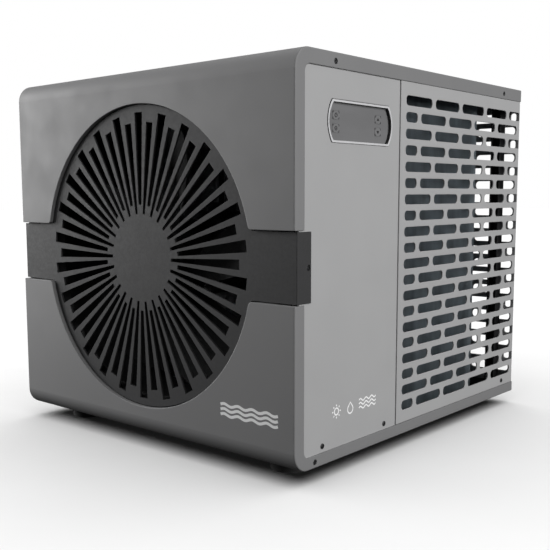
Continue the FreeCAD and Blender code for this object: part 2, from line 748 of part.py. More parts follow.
def make_drain_pan():
    """A shallow tray under the coil, with a notch for the motor bracket and a hole for the drain."""
    pan = box(PAN_X0, PAN_X1, PAN_Y0, PAN_Y1, Z_DECK, Z_DECK + PAN_H)
    hollow = box(PAN_X0 + PAN_WALL, PAN_X1 - PAN_WALL, PAN_Y0 + PAN_WALL, PAN_Y1 - PAN_WALL,
                 Z_DECK + PAN_WALL, Z_DECK + PAN_H + PAST)
    notch = box(PAN_X0 - PAST, PAN_NOTCH[0], PAN_Y0 - PAST, PAN_NOTCH[1], 0, Z_HIGH)
    hole = rod(V(DRAIN_X, DRAIN_Y, 0), Z_AXIS, DRAIN_BORE, Z_DECK + PAN_H)
    return cut_all(pan, [hollow, notch, hole])


def make_drain_nozzle():
    """A spout under the deck, with a collar against it and a plug through it."""
    spout = rod(V(DRAIN_X, DRAIN_Y, DRAIN_Z0), Z_AXIS, DRAIN_R, Z_DECK - DRAIN_Z0)
    collar = rod(V(DRAIN_X, DRAIN_Y, Z_LOW - DRAIN_COLLAR_T), Z_AXIS, DRAIN_COLLAR_R, DRAIN_COLLAR_T)
    return join([spout, collar]).cut(rod(V(DRAIN_X, DRAIN_Y, 0), Z_AXIS, DRAIN_BORE, Z_DECK))


# ---------------------------------------------------------------- control display
def make_bezel():
    """A ring standing in the cover's cut-out, with a groove round it and a flange behind the cover."""
    ring = display_block(BEZEL_GROOVE, X_BEZEL_BACK, X_BEZEL)
    flange = display_block(-BEZEL_FLANGE_W, X_PANEL_BACK - BEZEL_FLANGE_T, X_PANEL_BACK)
    pocket = display_block(WINDOW_INSET, X_BEZEL_BACK - PAST, X_BEZEL + PAST)
    return join([ring, flange]).cut(pocket)


def key_places():
    return [(y, z) for y in KEY_Y for z in KEY_Z]


def make_window():
    window = display_block(WINDOW_INSET + WINDOW_GAP, X_WINDOW_BACK, X_WINDOW)
    half_w = KEY_W / 2 + KEY_GAP
    half_h = KEY_H / 2 + KEY_GAP
    x0 = X_WINDOW_BACK - PAST
    x1 = X_WINDOW + PAST
    holes = []
    for y, z in key_places():
        holes.append(rounded_box(x0, x1, y - half_w, y + half_w, z - half_h, z + half_h, X_AXIS,
                                 KEY_CORNER_R + KEY_GAP))
    return cut_all(window, holes)


def make_key(y, z):
    """A cap through the window, with a wider flange behind it that keeps it in."""
    half_w = KEY_W / 2
    half_h = KEY_H / 2
    flange_front = X_WINDOW_BACK - KEY_BACK_GAP
    cap = rounded_box(flange_front - KEY_ROOT, X_WINDOW + KEY_PROUD, y - half_w, y + half_w, z - half_h,
                      z + half_h, X_AXIS, KEY_CORNER_R)
    half_w = half_w + KEY_FLANGE
    half_h = half_h + KEY_FLANGE
    flange = box(X_KEY_BACK, flange_front, y - half_w, y + half_w, z - half_h, z + half_h)
    return join([cap, flange])


def make_display_board():
    return box(X_BEZEL_BACK - BOARD_T, X_BEZEL_BACK, DISPLAY_Y0 + BOARD_Y_MARGIN, DISPLAY_Y1 - BOARD_Y_MARGIN,
               DISPLAY_Z0 - BOARD_Z_MARGIN, DISPLAY_Z1 + BOARD_Z_MARGIN)


def make_key_switches():
    top = X_KEY_BACK - KEY_TRAVEL - SWITCH_GAP
    half = SWITCH_HALF
    return Part.makeCompound([box(X_BEZEL_BACK, top, y - half, y + half, z - half, z + half)
                              for y, z in key_places()])


def make_display_module():
    return box(X_BEZEL_BACK, X_WINDOW_BACK - MODULE_GAP, MODULE_Y[0], MODULE_Y[1], DISPLAY_Z0 + MODULE_MARGIN,
               DISPLAY_Z1 - MODULE_MARGIN)


# ---------------------------------------------------------------- fan and motor
def make_shroud():
    """A square plate with a bell mouth and a ring round the blade tips."""
    back = Y_INSERT_BACK + SHROUD_PLATE_T
    plate = box(-SHROUD_HALF_W, SHROUD_HALF_W, Y_INSERT_BACK, back, SHROUD_Z0, SHROUD_Z1)
    mouth = rod(V(0, Y_INSERT_BACK - PAST, FAN_Z), Y_AXIS, MOUTH_R, SHROUD_PLATE_T + 2 * PAST)
    outline = [(MOUTH_R, Y_INSERT_BACK), (RING_R, RING_FRONT_Y), (RING_R, RING_REAR_Y),
               (RING_R + RING_T, RING_REAR_Y), (RING_R + RING_T, RING_FRONT_Y + RING_STEP),
               (MOUTH_R + RING_T, back), (MOUTH_R + RING_T, Y_INSERT_BACK)]
    wire = Part.makePolygon([V(r, y, FAN_Z) for r, y in outline + [outline[0]]])
    ring = Part.Face(wire).revolve(V(0, 0, FAN_Z), Y_AXIS, 360)
    bosses = []
    holes = []
    for x, z in stud_places():
        bosses.append(rod(V(x, Y_FRONT + SHEET, z), Y_AXIS, STUD_BOSS_R, INSERT_SETBACK + INSERT_T - SHEET))
        holes.append(rod(V(x, Y_FRONT, z), Y_AXIS, STUD_R + STUD_CLEAR, back + PAST - Y_FRONT))
    return cut_all(join([plate.cut(mouth), ring] + bosses), holes)


def stud_places():
    return [(x, FAN_Z + dz) for x in (-STUD_X, STUD_X) for dz in (-STUD_DZ, STUD_DZ)]


def make_shroud_studs():
    nut_r, nut_t = STUD_NUT
    studs = []
    for x, z in stud_places():
        stud = rod(V(x, Y_FRONT + SHEET, z), Y_AXIS, STUD_R, STUD_L)
        nut = hexagon(V(x, Y_INSERT_BACK + SHROUD_PLATE_T, z), Y_AXIS, nut_r, nut_t)
        studs.append(join([stud, nut]))
    return Part.makeCompound(studs)


def hexagon(start, axis, radius, length):
    """A hexagonal bar; radius is to the corners."""
    corners = []
    for number in range(6):
        turn = math.radians(60 * number)
        corners.append((radius * math.cos(turn), radius * math.sin(turn), 0))
    bar = prism(corners, V(0, 0, length))
    bar.Placement = FreeCAD.Placement(start, FreeCAD.Rotation(Z_AXIS, axis))
    return bar


def make_rotor():
    """Blades on a cup-shaped hub whose boss takes the shaft."""
    hub = rod(V(0, HUB_FRONT_Y, FAN_Z), Y_AXIS, HUB_R, HUB_REAR_Y - HUB_FRONT_Y)
    hub = hub.makeFillet(HUB_NOSE_R, rim_at(hub, Y_AXIS, HUB_FRONT_Y))
    swept = rod(V(0, HUB_FRONT_Y, FAN_Z), Y_AXIS, BLADE_TIP_R, 2 * (HUB_REAR_Y - HUB_FRONT_Y))
    blade = make_blade().common(swept)
    blades = []
    for number in range(BLADES):
        turned = blade.copy()
        turned.rotate(V(0, 0, FAN_Z), Y_AXIS, number * 360.0 / BLADES)
        blades.append(turned)
    hollow = tube(V(0, HUB_FRONT_Y + HUB_NOSE_T, FAN_Z), Y_AXIS, HUB_R - HUB_WALL, HUB_BOSS_R,
                  HUB_REAR_Y + PAST - HUB_FRONT_Y - HUB_NOSE_T)
    bore = rod(V(0, SHAFT_FRONT_Y, FAN_Z), Y_AXIS, SHAFT_R + HUB_FIT, MOTOR_FRONT_Y - SHAFT_FRONT_Y)
    return cut_all(join([hub] + blades), [hollow, bore])


def make_blade():
    """One blade, lofted from a steep root to a flatter, wider, forward-swept tip."""
    return Part.makeLoft([blade_section(*station) for station in BLADE_STATIONS], True, False)


def blade_section(radius, chord, pitch, sweep):
    turn = math.radians(sweep)
    out = V(math.cos(turn), 0, math.sin(turn))
    along = V(-math.sin(turn), 0, math.cos(turn))
    lean = math.radians(pitch)
    chordwise = along.multiply(math.cos(lean)).add(V(0, math.sin(lean), 0))
    thick = out.cross(chordwise).normalize()
    centre = V(0, BLADE_MID_Y, FAN_Z).add(out.multiply(radius))
    corners = []
    for u, v in ((-0.5, -0.5), (0.5, -0.5), (0.5, 0.5), (-0.5, 0.5)):
        corners.append(centre.add(V(chordwise).multiply(u * chord)).add(V(thick).multiply(v * BLADE_T)))
    return Part.makePolygon(corners + [corners[0]])


def make_shaft():
    rear = MOTOR_REAR_Y - MOTOR_CAP_T - PAST
    return rod(V(0, SHAFT_FRONT_Y, FAN_Z), Y_AXIS, SHAFT_R, rear - SHAFT_FRONT_Y)


def make_fan_nut():
    radius, thick = FAN_NUT
    start = V(0, HUB_FRONT_Y - thick, FAN_Z)
    return hexagon(start, Y_AXIS, radius, thick).cut(rod(start, Y_AXIS, SHAFT_R + HUB_FIT, thick))


def motor_bolt_places():
    places = []
    for number in range(4):
        turn = math.radians(45 + 90 * number)
        places.append((MOTOR_BOLT_R * math.cos(turn), FAN_Z + MOTOR_BOLT_R * math.sin(turn)))
    return places


def make_motor():
    can = rod(V(0, MOTOR_FRONT_Y, FAN_Z), Y_AXIS, MOTOR_R, MOTOR_REAR_Y - MOTOR_FRONT_Y)
    can = round_rims(can, MOTOR_EDGE_R)
    boss_r, boss_l = MOTOR_BOSS
    boss = rod(V(0, MOTOR_FRONT_Y - boss_l, FAN_Z), Y_AXIS, boss_r, boss_l + PAST)
    half, y0, y1, rise = MOTOR_LEAD_BOX
    lead_box = box(-half, half, y0, y1, FAN_Z + MOTOR_R - rise, FAN_Z + MOTOR_R + rise)
    bore = rod(V(0, MOTOR_FRONT_Y - boss_l, FAN_Z), Y_AXIS, SHAFT_R + SHAFT_FIT,
               MOTOR_REAR_Y - MOTOR_CAP_T - MOTOR_FRONT_Y + boss_l)
    hole_y = MOTOR_REAR_Y - MOTOR_SCREW_L - PAST
    holes = [rod(V(x, hole_y, z), Y_AXIS, MOTOR_SCREW_R + SCREW_CLEAR, 2 * MOTOR_SCREW_L)
             for x, z in motor_bolt_places()]
    return cut_all(join([can, boss, lead_box]), [bore] + holes)


def make_motor_bracket():
    """A plate behind the motor on two folded legs from the deck to the roof."""
    y0 = MOTOR_REAR_Y
    y1 = MOTOR_REAR_Y + BRACKET_DEPTH
    half_w, half_h = BRACKET_PLATE
    x0, x1 = BRACKET_LEG_X
    leg = join([box(x0, x1, y0, y0 + BRACKET_T, Z_DECK, Z_ROOF),
                box(x1 - BRACKET_T, x1, y0, y1, Z_DECK, Z_ROOF),
                box(x0, x1, y0, y1, Z_DECK, Z_DECK + BRACKET_T),
                box(x0, x1, y0, y1, Z_ROOF - BRACKET_T, Z_ROOF)])
    plate = box(-half_w, half_w, y0, y0 + BRACKET_T, FAN_Z - half_h, FAN_Z + half_h)
    holes = [rod(V(x, y0 - PAST, z), Y_AXIS, MOTOR_SCREW_R + SCREW_CLEAR, BRACKET_T + 2 * PAST)
             for x, z in motor_bolt_places()]
    return cut_all(join([plate, leg, mirrored(leg)]), holes)


def make_motor_screws():
    head_r, head_t = MOTOR_SCREW_HEAD
    screws = []
    for x, z in motor_bolt_places():
        head = hexagon(V(x, MOTOR_REAR_Y + BRACKET_T, z), Y_AXIS, head_r, head_t)
        shank = rod(V(x, MOTOR_REAR_Y - MOTOR_SCREW_L, z), Y_AXIS, MOTOR_SCREW_R, MOTOR_SCREW_L + BRACKET_T)
        screws.append(join([head, shank]))
    return Part.makeCompound(screws)


# ---------------------------------------------------------------- evaporator
def coil_plan(inset):
    """Plan outline of the bent coil, from its outer face inwards."""
    outer_x = COIL_X - inset
    outer_y = COIL_Y - inset
    inner_x = COIL_X - COIL_T + inset
    inner_y = COIL_Y - COIL_T + inset
    outer_r = COIL_BEND_R - inset
    inner_r = COIL_BEND_R - COIL_T + inset
    centre = V(COIL_X - COIL_BEND_R, COIL_Y - COIL_BEND_R, 0)
    diagonal = V(math.cos(math.radians(45)), math.sin(math.radians(45)), 0)
    outer_mid = centre.add(V(diagonal).multiply(outer_r))
    inner_mid = centre.add(V(diagonal).multiply(inner_r))
    line = Part.LineSegment
    edges = [line(V(outer_x, COIL_FRONT_Y, 0), V(outer_x, centre.y, 0)).toShape(),
             Part.Arc(V(outer_x, centre.y, 0), outer_mid, V(centre.x, outer_y, 0)).toShape(),
             line(V(centre.x, outer_y, 0), V(COIL_LEFT_X, outer_y, 0)).toShape(),
             line(V(COIL_LEFT_X, outer_y, 0), V(COIL_LEFT_X, inner_y, 0)).toShape(),
             line(V(COIL_LEFT_X, inner_y, 0), V(centre.x, inner_y, 0)).toShape(),
             Part.Arc(V(centre.x, inner_y, 0), inner_mid, V(inner_x, centre.y, 0)).toShape(),
             line(V(inner_x, centre.y, 0), V(inner_x, COIL_FRONT_Y, 0)).toShape(),
             line(V(inner_x, COIL_FRONT_Y, 0), V(outer_x, COIL_FRONT_Y, 0)).toShape()]
    return Part.Face(Part.Wire(edges))


def make_coil_fins():
    fins = coil_plan(0.0).extrude(V(0, 0, COIL_Z1 - COIL_Z0))
    fins.translate(V(0, 0, COIL_Z0))
    return fins


def make_coil_end_plates():
    front = box(COIL_X - COIL_T, COIL_X, COIL_FRONT_Y - END_PLATE_T, COIL_FRONT_Y, COIL_Z0, COIL_Z1)
    left = box(COIL_LEFT_X - END_PLATE_T, COIL_LEFT_X, COIL_Y - COIL_T, COIL_Y, COIL_Z0, COIL_Z1)
    return Part.makeCompound([front, left])


def return_bend(root, outward, radius):
    """A U-shaped tube end standing on the plate at root; its two legs are one above the other."""
    legs = []
    for sign in (-1, 1):
        legs.append(rod(root.add(V(0, 0, sign * radius)), outward, BEND_TUBE_R, BEND_LEG))
    centre = root.add(V(outward).multiply(BEND_LEG))
    bow = Part.makeTorus(radius, BEND_TUBE_R, centre, outward.cross(Z_AXIS))
    reach = 2 * (radius + BEND_TUBE_R)
    keep = box(-reach, reach, -reach, reach, 0, reach)
    keep.Placement = FreeCAD.Placement(centre, FreeCAD.Rotation(Z_AXIS, outward))
    return join([bow.common(keep)] + legs)


def make_return_bends():
    bends = []
    for number in range(BEND_COUNT):
        z = COIL_Z0 + BEND_FIRST_Z + BEND_PITCH * number
        front = V(COIL_X - COIL_T / 2, COIL_FRONT_Y - END_PLATE_T, z)
        bends.append(return_bend(front, V(0, -1, 0), BEND_R))
        left = V(COIL_LEFT_X - END_PLATE_T, COIL_Y - BEND_INSET, z)
        bends.append(return_bend(left, LEFTWARD, BEND_R))
    return Part.makeCompound(bends)


# ---------------------------------------------------------------- compressor side
def make_partition():
    """An angled wall that keeps the air side apart from the compressor and the electrics."""
    side = box(WALL_X, WALL_X + SHEET, WALL_FRONT_Y, COIL_Y, Z_DECK, Z_ROOF)
    front = box(-X_PANEL_BACK, WALL_X + SHEET, WALL_FRONT_Y - SHEET, WALL_FRONT_Y, Z_DECK, Z_ROOF)
    holes = []
    for y, z, radius in ((COIL_LINE_Y, COIL_LINE_Z, PIPE_R + LINE_CLEAR),
                         (DRIER_Y, CAPILLARY_Z, CAPILLARY_R + LINE_CLEAR),
                         DISPLAY_LEAD_YZ + (LEAD_HOLE_R,), MOTOR_LEAD_YZ + (LEAD_HOLE_R,)):
        holes.append(rod(V(WALL_X - PAST, y, z), X_AXIS, radius, SHEET + 2 * PAST))
    return cut_all(join([side, front]), holes)


def make_compressor():
    """A domed can on a square base plate, with its pipe stubs and the terminal post on top."""
    can = rod(V(PLANT_X, COMPRESSOR_Y, COMPRESSOR_Z0), Z_AXIS, COMPRESSOR_R, COMPRESSOR_Z1 - COMPRESSOR_Z0)
    can = round_rims(can, COMPRESSOR_DOME_R)
    base = rounded_box(PLANT_X - BASE_HALF, PLANT_X + BASE_HALF, COMPRESSOR_Y - BASE_HALF,
                       COMPRESSOR_Y + BASE_HALF, BASE_Z0, BASE_Z1, Z_AXIS, BASE_CORNER_R)
    inside = COMPRESSOR_Z1 - SUCTION_STUB[0]
    discharge = rod(V(PLANT_X, COMPRESSOR_Y, inside), Z_AXIS, DISCHARGE_R, DISCHARGE_Z1 - inside)
    stub_r, stub_in, stub_out = SUCTION_STUB
    suction = rod(V(PLANT_X, COMPRESSOR_Y + stub_in, SUCTION_STUB_Z), Y_AXIS, stub_r, stub_out - stub_in)
    terminal = rod(V(PLANT_X + TERMINAL_DX, COMPRESSOR_Y + TERMINAL_DY, inside), Z_AXIS, TERMINAL_R,
                   COVER_Z[1] - inside)
    holes = [rod(V(x, y, BASE_Z0 - PAST), Z_AXIS, GROMMET_BORE, BASE_Z1 - BASE_Z0 + 2 * PAST)
             for x, y in grommet_places()]
    return cut_all(join([can, base, discharge, suction, terminal]), holes)


def grommet_places():
    reach = (-GROMMET_OFFSET, GROMMET_OFFSET)
    return [(PLANT_X + dx, COMPRESSOR_Y + dy) for dx in reach for dy in reach]


def make_grommets():
    return Part.makeCompound([tube(V(x, y, Z_DECK), Z_AXIS, GROMMET_R, GROMMET_BORE, BASE_Z0 - Z_DECK)
                              for x, y in grommet_places()])


def make_compressor_bolts():
    head_r, head_t = BOLT_HEAD
    bolts = []
    for x, y in grommet_places():
        head = hexagon(V(x, y, BASE_Z1), Z_AXIS, head_r, head_t)
        bolts.append(join([head, rod(V(x, y, Z_DECK), Z_AXIS, BOLT_R, BASE_Z1 - Z_DECK)]))
    return Part.makeCompound(bolts)


def make_terminal_cover():
    skirt_z, cap_z, top_z = COVER_Z
    x = PLANT_X + TERMINAL_DX
    y = COMPRESSOR_Y + TERMINAL_DY
    cap = rod(V(x, y, cap_z), Z_AXIS, COVER_R, top_z - cap_z)
    return join([cap, tube(V(x, y, skirt_z), Z_AXIS, COVER_R, COVER_BORE, cap_z - skirt_z)])


def make_accumulator():
    height = ACCUMULATOR_Z1 - ACCUMULATOR_Z0
    body = rod(V(PLANT_X, ACCUMULATOR_Y, ACCUMULATOR_Z0), Z_AXIS, ACCUMULATOR_R, height)
    body = round_rims(body, ACCUMULATOR_DOME_R)
    inside = ACCUMULATOR_Z1 - DISCHARGE_R
    stub = rod(V(PLANT_X, ACCUMULATOR_Y, inside), Z_AXIS, DISCHARGE_R, ACCUMULATOR_TOP_Z - inside)
    return join([body, stub])


def make_exchanger():
    """The water-to-refrigerant exchanger, with two bored water bosses and two pipe stubs."""
    shell = rod(V(PLANT_X, EXCHANGER_Y, EXCHANGER_Z0), Z_AXIS, EXCHANGER_R, EXCHANGER_Z1 - EXCHANGER_Z0)
    shell = round_rims(shell, EXCHANGER_EDGE_R)
    bosses = []
    bores = []
    for z in WATER_Z:
        bosses.append(rod(V(PLANT_X, EXCHANGER_Y, z), LEFTWARD, EXCHANGER_BOSS_R, EXCHANGER_BOSS_L))
        inner = V(PLANT_X + EXCHANGER_BORE_DX, EXCHANGER_Y, z)
        bores.append(rod(inner, LEFTWARD, NOZZLE_BORE, EXCHANGER_BOSS_L))
    root = EXCHANGER_Z1 - PAST
    length = EXCHANGER_STUB_L + PAST
    gas_r, liquid_r = EXCHANGER_STUB_R
    stubs = [rod(V(PLANT_X, EXCHANGER_Y + CONDENSER_DY, root), Z_AXIS, gas_r, length),
             rod(V(PLANT_X + LIQUID_DX, EXCHANGER_Y + LIQUID_DY, root), Z_AXIS, liquid_r, length)]
    return cut_all(join([shell] + bosses + stubs), bores)


def make_exchanger_cradle():
    outer, inner = CRADLE_RIM
    return tube(V(PLANT_X, EXCHANGER_Y, Z_DECK), Z_AXIS, EXCHANGER_R - outer, EXCHANGER_R - inner,
                EXCHANGER_Z0 - Z_DECK)


def make_valve():
    """The four-way valve: one port on top and three below."""
    y0, y1 = VALVE_Y
    body = rod(V(PLANT_X, y0, VALVE_Z), Y_AXIS, VALVE_R, y1 - y0)
    stubs = [rod(V(PLANT_X, VALVE_PORT_Y[1], VALVE_Z), Z_AXIS, VALVE_PORT_R, VALVE_TOP_L)]
    for y in VALVE_PORT_Y:
        stubs.append(rod(V(PLANT_X, y, VALVE_Z), DOWNWARD, VALVE_PORT_R, VALVE_PORT_L))
    return join([body] + stubs)


def make_valve_coil():
    half = VALVE_COIL_HALF
    return rounded_box(PLANT_X - half, PLANT_X + half, VALVE_COIL_Y0, VALVE_Y[0], VALVE_Z - half,
                       VALVE_Z + half, Y_AXIS, VALVE_COIL_R)


def make_gas_pipes():
    """Discharge, suction, accumulator, condenser and evaporator lines, each a separate pipe."""
    x = PLANT_X
    left = x + DISCHARGE_RISER_DX
    riser_y = DISCHARGE_RISER_Y
    suction_y, condenser_y, evaporator_y = VALVE_PORT_Y
    port_z = VALVE_Z - VALVE_PORT_L
    stub_z = EXCHANGER_Z1 + EXCHANGER_STUB_L
    discharge = pipe([(x, COMPRESSOR_Y, DISCHARGE_Z1), (x, COMPRESSOR_Y, DISCHARGE_LOW_Z),
                      (left, COMPRESSOR_Y - DISCHARGE_RISER_DX, DISCHARGE_LOW_Z),
                      (left, riser_y, DISCHARGE_LOW_Z),
                      (left, riser_y, DISCHARGE_TOP_Z), (left, condenser_y, DISCHARGE_TOP_Z),
                      (x, condenser_y, DISCHARGE_TOP_Z), (x, condenser_y, VALVE_Z + VALVE_TOP_L)],
                     SLIM_PIPE_R, SLIM_BEND_R)
    suction = pipe([(x, suction_y, port_z), (x, suction_y, SUCTION_Z), (x, ACCUMULATOR_Y, SUCTION_Z),
                    (x, ACCUMULATOR_Y, ACCUMULATOR_TOP_Z)], PIPE_R, PIPE_BEND_R)
    accumulator = pipe([(x, ACCUMULATOR_Y, ACCUMULATOR_Z0), (x, ACCUMULATOR_Y, SUCTION_STUB_Z),
                        (x, COMPRESSOR_Y + SUCTION_STUB[2], SUCTION_STUB_Z)], PIPE_R, LOW_BEND_R)
    condenser = rod(V(x, condenser_y, stub_z), Z_AXIS, PIPE_R, port_z - stub_z)
    evaporator = pipe([(x, evaporator_y, port_z), (x, evaporator_y, COIL_LINE_Z),
                       (x + EVAPORATOR_TURN_DX[0], evaporator_y, COIL_LINE_Z),
                       (x + EVAPORATOR_TURN_DX[1], COIL_LINE_Y, COIL_LINE_Z),
                       (COIL_LEFT_X - END_PLATE_T, COIL_LINE_Y, COIL_LINE_Z)], SLIM_PIPE_R, COIL_BEND_LINE_R)
    return Part.makeCompound([discharge, suction, accumulator, condenser, evaporator])


def make_liquid_pipe():
    x = PLANT_X + LIQUID_DX
    y = EXCHANGER_Y + LIQUID_DY
    return pipe([(x, y, EXCHANGER_Z1 + EXCHANGER_STUB_L), (x, y, LIQUID_TOP_Z),
                 (DRIER_X, DRIER_Y, LIQUID_TOP_Z), (DRIER_X, DRIER_Y, DRIER_Z[3])], LIQUID_R, PIPE_BEND_R)


def make_filter_drier():
    stub_z0, body_z0, body_z1, stub_z1 = DRIER_Z
    body = round_rims(rod(V(DRIER_X, DRIER_Y, body_z0), Z_AXIS, DRIER_R, body_z1 - body_z0), DRIER_EDGE_R)
    return join([body, rod(V(DRIER_X, DRIER_Y, stub_z0), Z_AXIS, DRIER_STUB_R, stub_z1 - stub_z0)])


def make_capillary():
    z = CAPILLARY_Z
    return pipe([(DRIER_X, DRIER_Y, DRIER_Z[0]), (DRIER_X, DRIER_Y, z), (CAPILLARY_X, DRIER_Y, z),
                 (CAPILLARY_X, COIL_LINE_Y, z), (COIL_LEFT_X - END_PLATE_T, COIL_LINE_Y, z)],
                CAPILLARY_R, CAPILLARY_BEND_R)


# ---------------------------------------------------------------- water connections
def make_nozzle(z):
    """A threaded barrel from the exchanger boss through the left panel, with a collar against it."""
    start = V(PLANT_X - EXCHANGER_BOSS_L, EXCHANGER_Y, z)
    length = start.x - NOZZLE_END_X
    collar_r, collar_t = NOZZLE_COLLAR
    barrel = rod(start, LEFTWARD, NOZZLE_R, length)
    collar = rod(V(-X_PANEL, EXCHANGER_Y, z), LEFTWARD, collar_r, collar_t)
    return join([barrel, collar]).cut(rod(start, LEFTWARD, NOZZLE_BORE, length))


def make_union_seal(z):
    return tube(V(NOZZLE_END_X, EXCHANGER_Y, z), LEFTWARD, NOZZLE_R - SEAL_INSET, NOZZLE_BORE, SEAL_T)


def make_hose_tail(z):
    """A flanged tail with a neck inside the nut, then a 38 mm step and a 32 mm step for the hose."""
    start = TAIL_X
    steps = []
    for radius, length in ((NOZZLE_R - SEAL_INSET, TAIL_FLANGE_T), (TAIL_NECK_R, TAIL_NECK_L),
                           (TAIL_38_R, TAIL_38_L), (TAIL_32_R, TAIL_32_L)):
        steps.append(rod(V(start, EXCHANGER_Y, z), LEFTWARD, radius, length))
        start = start - length
    return join(steps).cut(rod(V(TAIL_X, EXCHANGER_Y, z), LEFTWARD, TAIL_BORE, TAIL_X - REACH_X))


def make_union_nut(z):
    """A ribbed nut on the barrel; its cap holds the flange of the hose tail."""
    start = V(-X_PANEL - NUT_START_GAP, EXCHANGER_Y, z)
    shoulder = start.x - (TAIL_X - TAIL_FLANGE_T) + NUT_SHOULDER_GAP
    length = shoulder + NUT_CAP_T
    ribs = []
    for number in range(NUT_RIBS):
        rib = box(-NUT_RIB_W / 2, NUT_RIB_W / 2, 0, NUT_R + NUT_RIB_H, 0, length)
        rib.rotate(V(0, 0, 0), Z_AXIS, 360 / NUT_RIBS * number)
        rib.Placement = FreeCAD.Placement(start, FreeCAD.Rotation(Z_AXIS, LEFTWARD)).multiply(rib.Placement)
        ribs.append(rib)
    thread = rod(start, LEFTWARD, NOZZLE_R + NUT_FIT, shoulder)
    throat = rod(start, LEFTWARD, TAIL_38_R + NUT_THROAT_CLEAR, length + PAST)
    return cut_all(join([rod(start, LEFTWARD, NUT_R, length)] + ribs), [thread, throat])


# ---------------------------------------------------------------- electrics
def make_electrics_box():
    tray = box(BOX_X0, BOX_X1, BOX_Y0, BOX_Y1, BOX_Z0, BOX_Z1)
    hollow = box(BOX_X0 + SHEET, BOX_X1 - SHEET, BOX_Y0 + SHEET, BOX_Y1 - SHEET, BOX_FLOOR, BOX_Z1 + PAST)
    holes = [rod(V(BOX_X0 - PAST, GLAND_Y, GLAND_Z), X_AXIS, GLAND_HOLE_R, SHEET + 2 * PAST)]
    for y, z in (DISPLAY_LEAD_YZ, MOTOR_LEAD_YZ):
        holes.append(rod(V(BOX_X1 - SHEET - PAST, y, z), X_AXIS, LEAD_HOLE_R, SHEET + 2 * PAST))
    return cut_all(tray, [hollow] + holes)


def make_electrics_lid():
    return box(BOX_X0, BOX_X1, BOX_Y0, BOX_Y1, BOX_Z1, BOX_Z1 + SHEET)


def make_control_board():
    x0, x1, y0, y1 = MAIN_BOARD
    pieces = [box(x0, x1, y0, y1, MAIN_BOARD_Z, MAIN_BOARD_TOP)]
    for x in (x0 + STANDOFF_INSET, x1 - STANDOFF_INSET):
        for y in (y0 + STANDOFF_INSET, y1 - STANDOFF_INSET):
            pieces.append(rod(V(x, y, BOX_FLOOR), Z_AXIS, STANDOFF_R, MAIN_BOARD_Z - BOX_FLOOR))
    return join(pieces)


def make_board_components():
    """Relays, capacitors and a transformer standing on the control board."""
    top = MAIN_BOARD_TOP
    pieces = [box(x0, x1, y0, y1, top, top + height) for x0, x1, y0, y1, height in RELAYS]
    for x, y in CAPACITORS:
        pieces.append(rod(V(x, y, top), Z_AXIS, CAPACITOR_R, CAPACITOR_H))
    x0, x1, y0, y1, height, radius = TRANSFORMER
    pieces.append(rounded_box(x0, x1, y0, y1, top, top + height, Z_AXIS, radius))
    return Part.makeCompound(pieces)


def make_terminal_block():
    x0, x1, y0, y1, height = TERMINAL_BLOCK
    first_x, y = TERMINAL_FIRST
    well_r, well_floor = TERMINAL_WELL
    wells = []
    for number in range(TERMINAL_COUNT):
        x = first_x + TERMINAL_PITCH * number
        wells.append(rod(V(x, y, BOX_FLOOR + well_floor), Z_AXIS, well_r, height))
    return cut_all(box(x0, x1, y0, y1, BOX_FLOOR, BOX_FLOOR + height), wells)


def make_gland():
    """The cable gland: a hexagon and a domed cap outside, and a threaded barrel into the box."""
    hex_r, hex_t = GLAND_HEX
    dome_r, dome_l = GLAND_DOME
    x = -X_PANEL
    inner_x = BOX_X0 + GLAND_THREAD_PAST
    hexed = hexagon(V(x, GLAND_Y, GLAND_Z), LEFTWARD, hex_r, hex_t)
    dome = rod(V(x - hex_t, GLAND_Y, GLAND_Z), LEFTWARD, dome_r, dome_l)
    dome = dome.makeFillet(GLAND_TIP_R, rim_at(dome, X_AXIS, x - hex_t - dome_l))
    thread = rod(V(inner_x, GLAND_Y, GLAND_Z), LEFTWARD, GLAND_THREAD_R, inner_x - x)
    bore = rod(V(inner_x, GLAND_Y, GLAND_Z), LEFTWARD, GLAND_BORE, inner_x - x + hex_t + dome_l)
    return join([hexed, dome, thread]).cut(bore)


def make_gland_nut():
    radius, thick = GLAND_NUT
    start = V(BOX_X0 + SHEET, GLAND_Y, GLAND_Z)
    return hexagon(start, X_AXIS, radius, thick).cut(rod(start, X_AXIS, GLAND_THREAD_R + GLAND_FIT, thick))


def make_display_lead():
    """From the electrics box over the fan to the back of the display board."""
    y, z = DISPLAY_LEAD_YZ
    drop_x, drop_y = DISPLAY_LEAD_DROP
    high, low = DISPLAY_LEAD_Z
    return pipe([(BOX_X1, y, z), (DISPLAY_LEAD_TURN_X, y, z), (drop_x, drop_y, high), (drop_x, drop_y, low),
                 (X_BEZEL_BACK - BOARD_T, drop_y, low)], LEAD_R, LEAD_BEND_R)


def make_motor_lead():
    """From the electrics box down to the lead box on top of the motor."""
    y, z = MOTOR_LEAD_YZ
    half, y0, y1, rise = MOTOR_LEAD_BOX
    middle = (y0 + y1) / 2
    turn_x, turn_z = MOTOR_LEAD_TURN
    return pipe([(BOX_X1, y, z), (turn_x, y, z), (0, middle, turn_z), (0, middle, FAN_Z + MOTOR_R + rise)],
                LEAD_R, LEAD_BEND_R)


# ---------------------------------------------------------------- screw groups
def side_screw(face_x, y, z, side):
    out = V(side, 0, 0)
    head = rod(V(side * face_x, y, z), out, SCREW_HEAD_R, SCREW_HEAD_T)
    shank = rod(V(side * (face_x - SCREW_L), y, z), out, SCREW_R, SCREW_L)
    return join([head, shank])


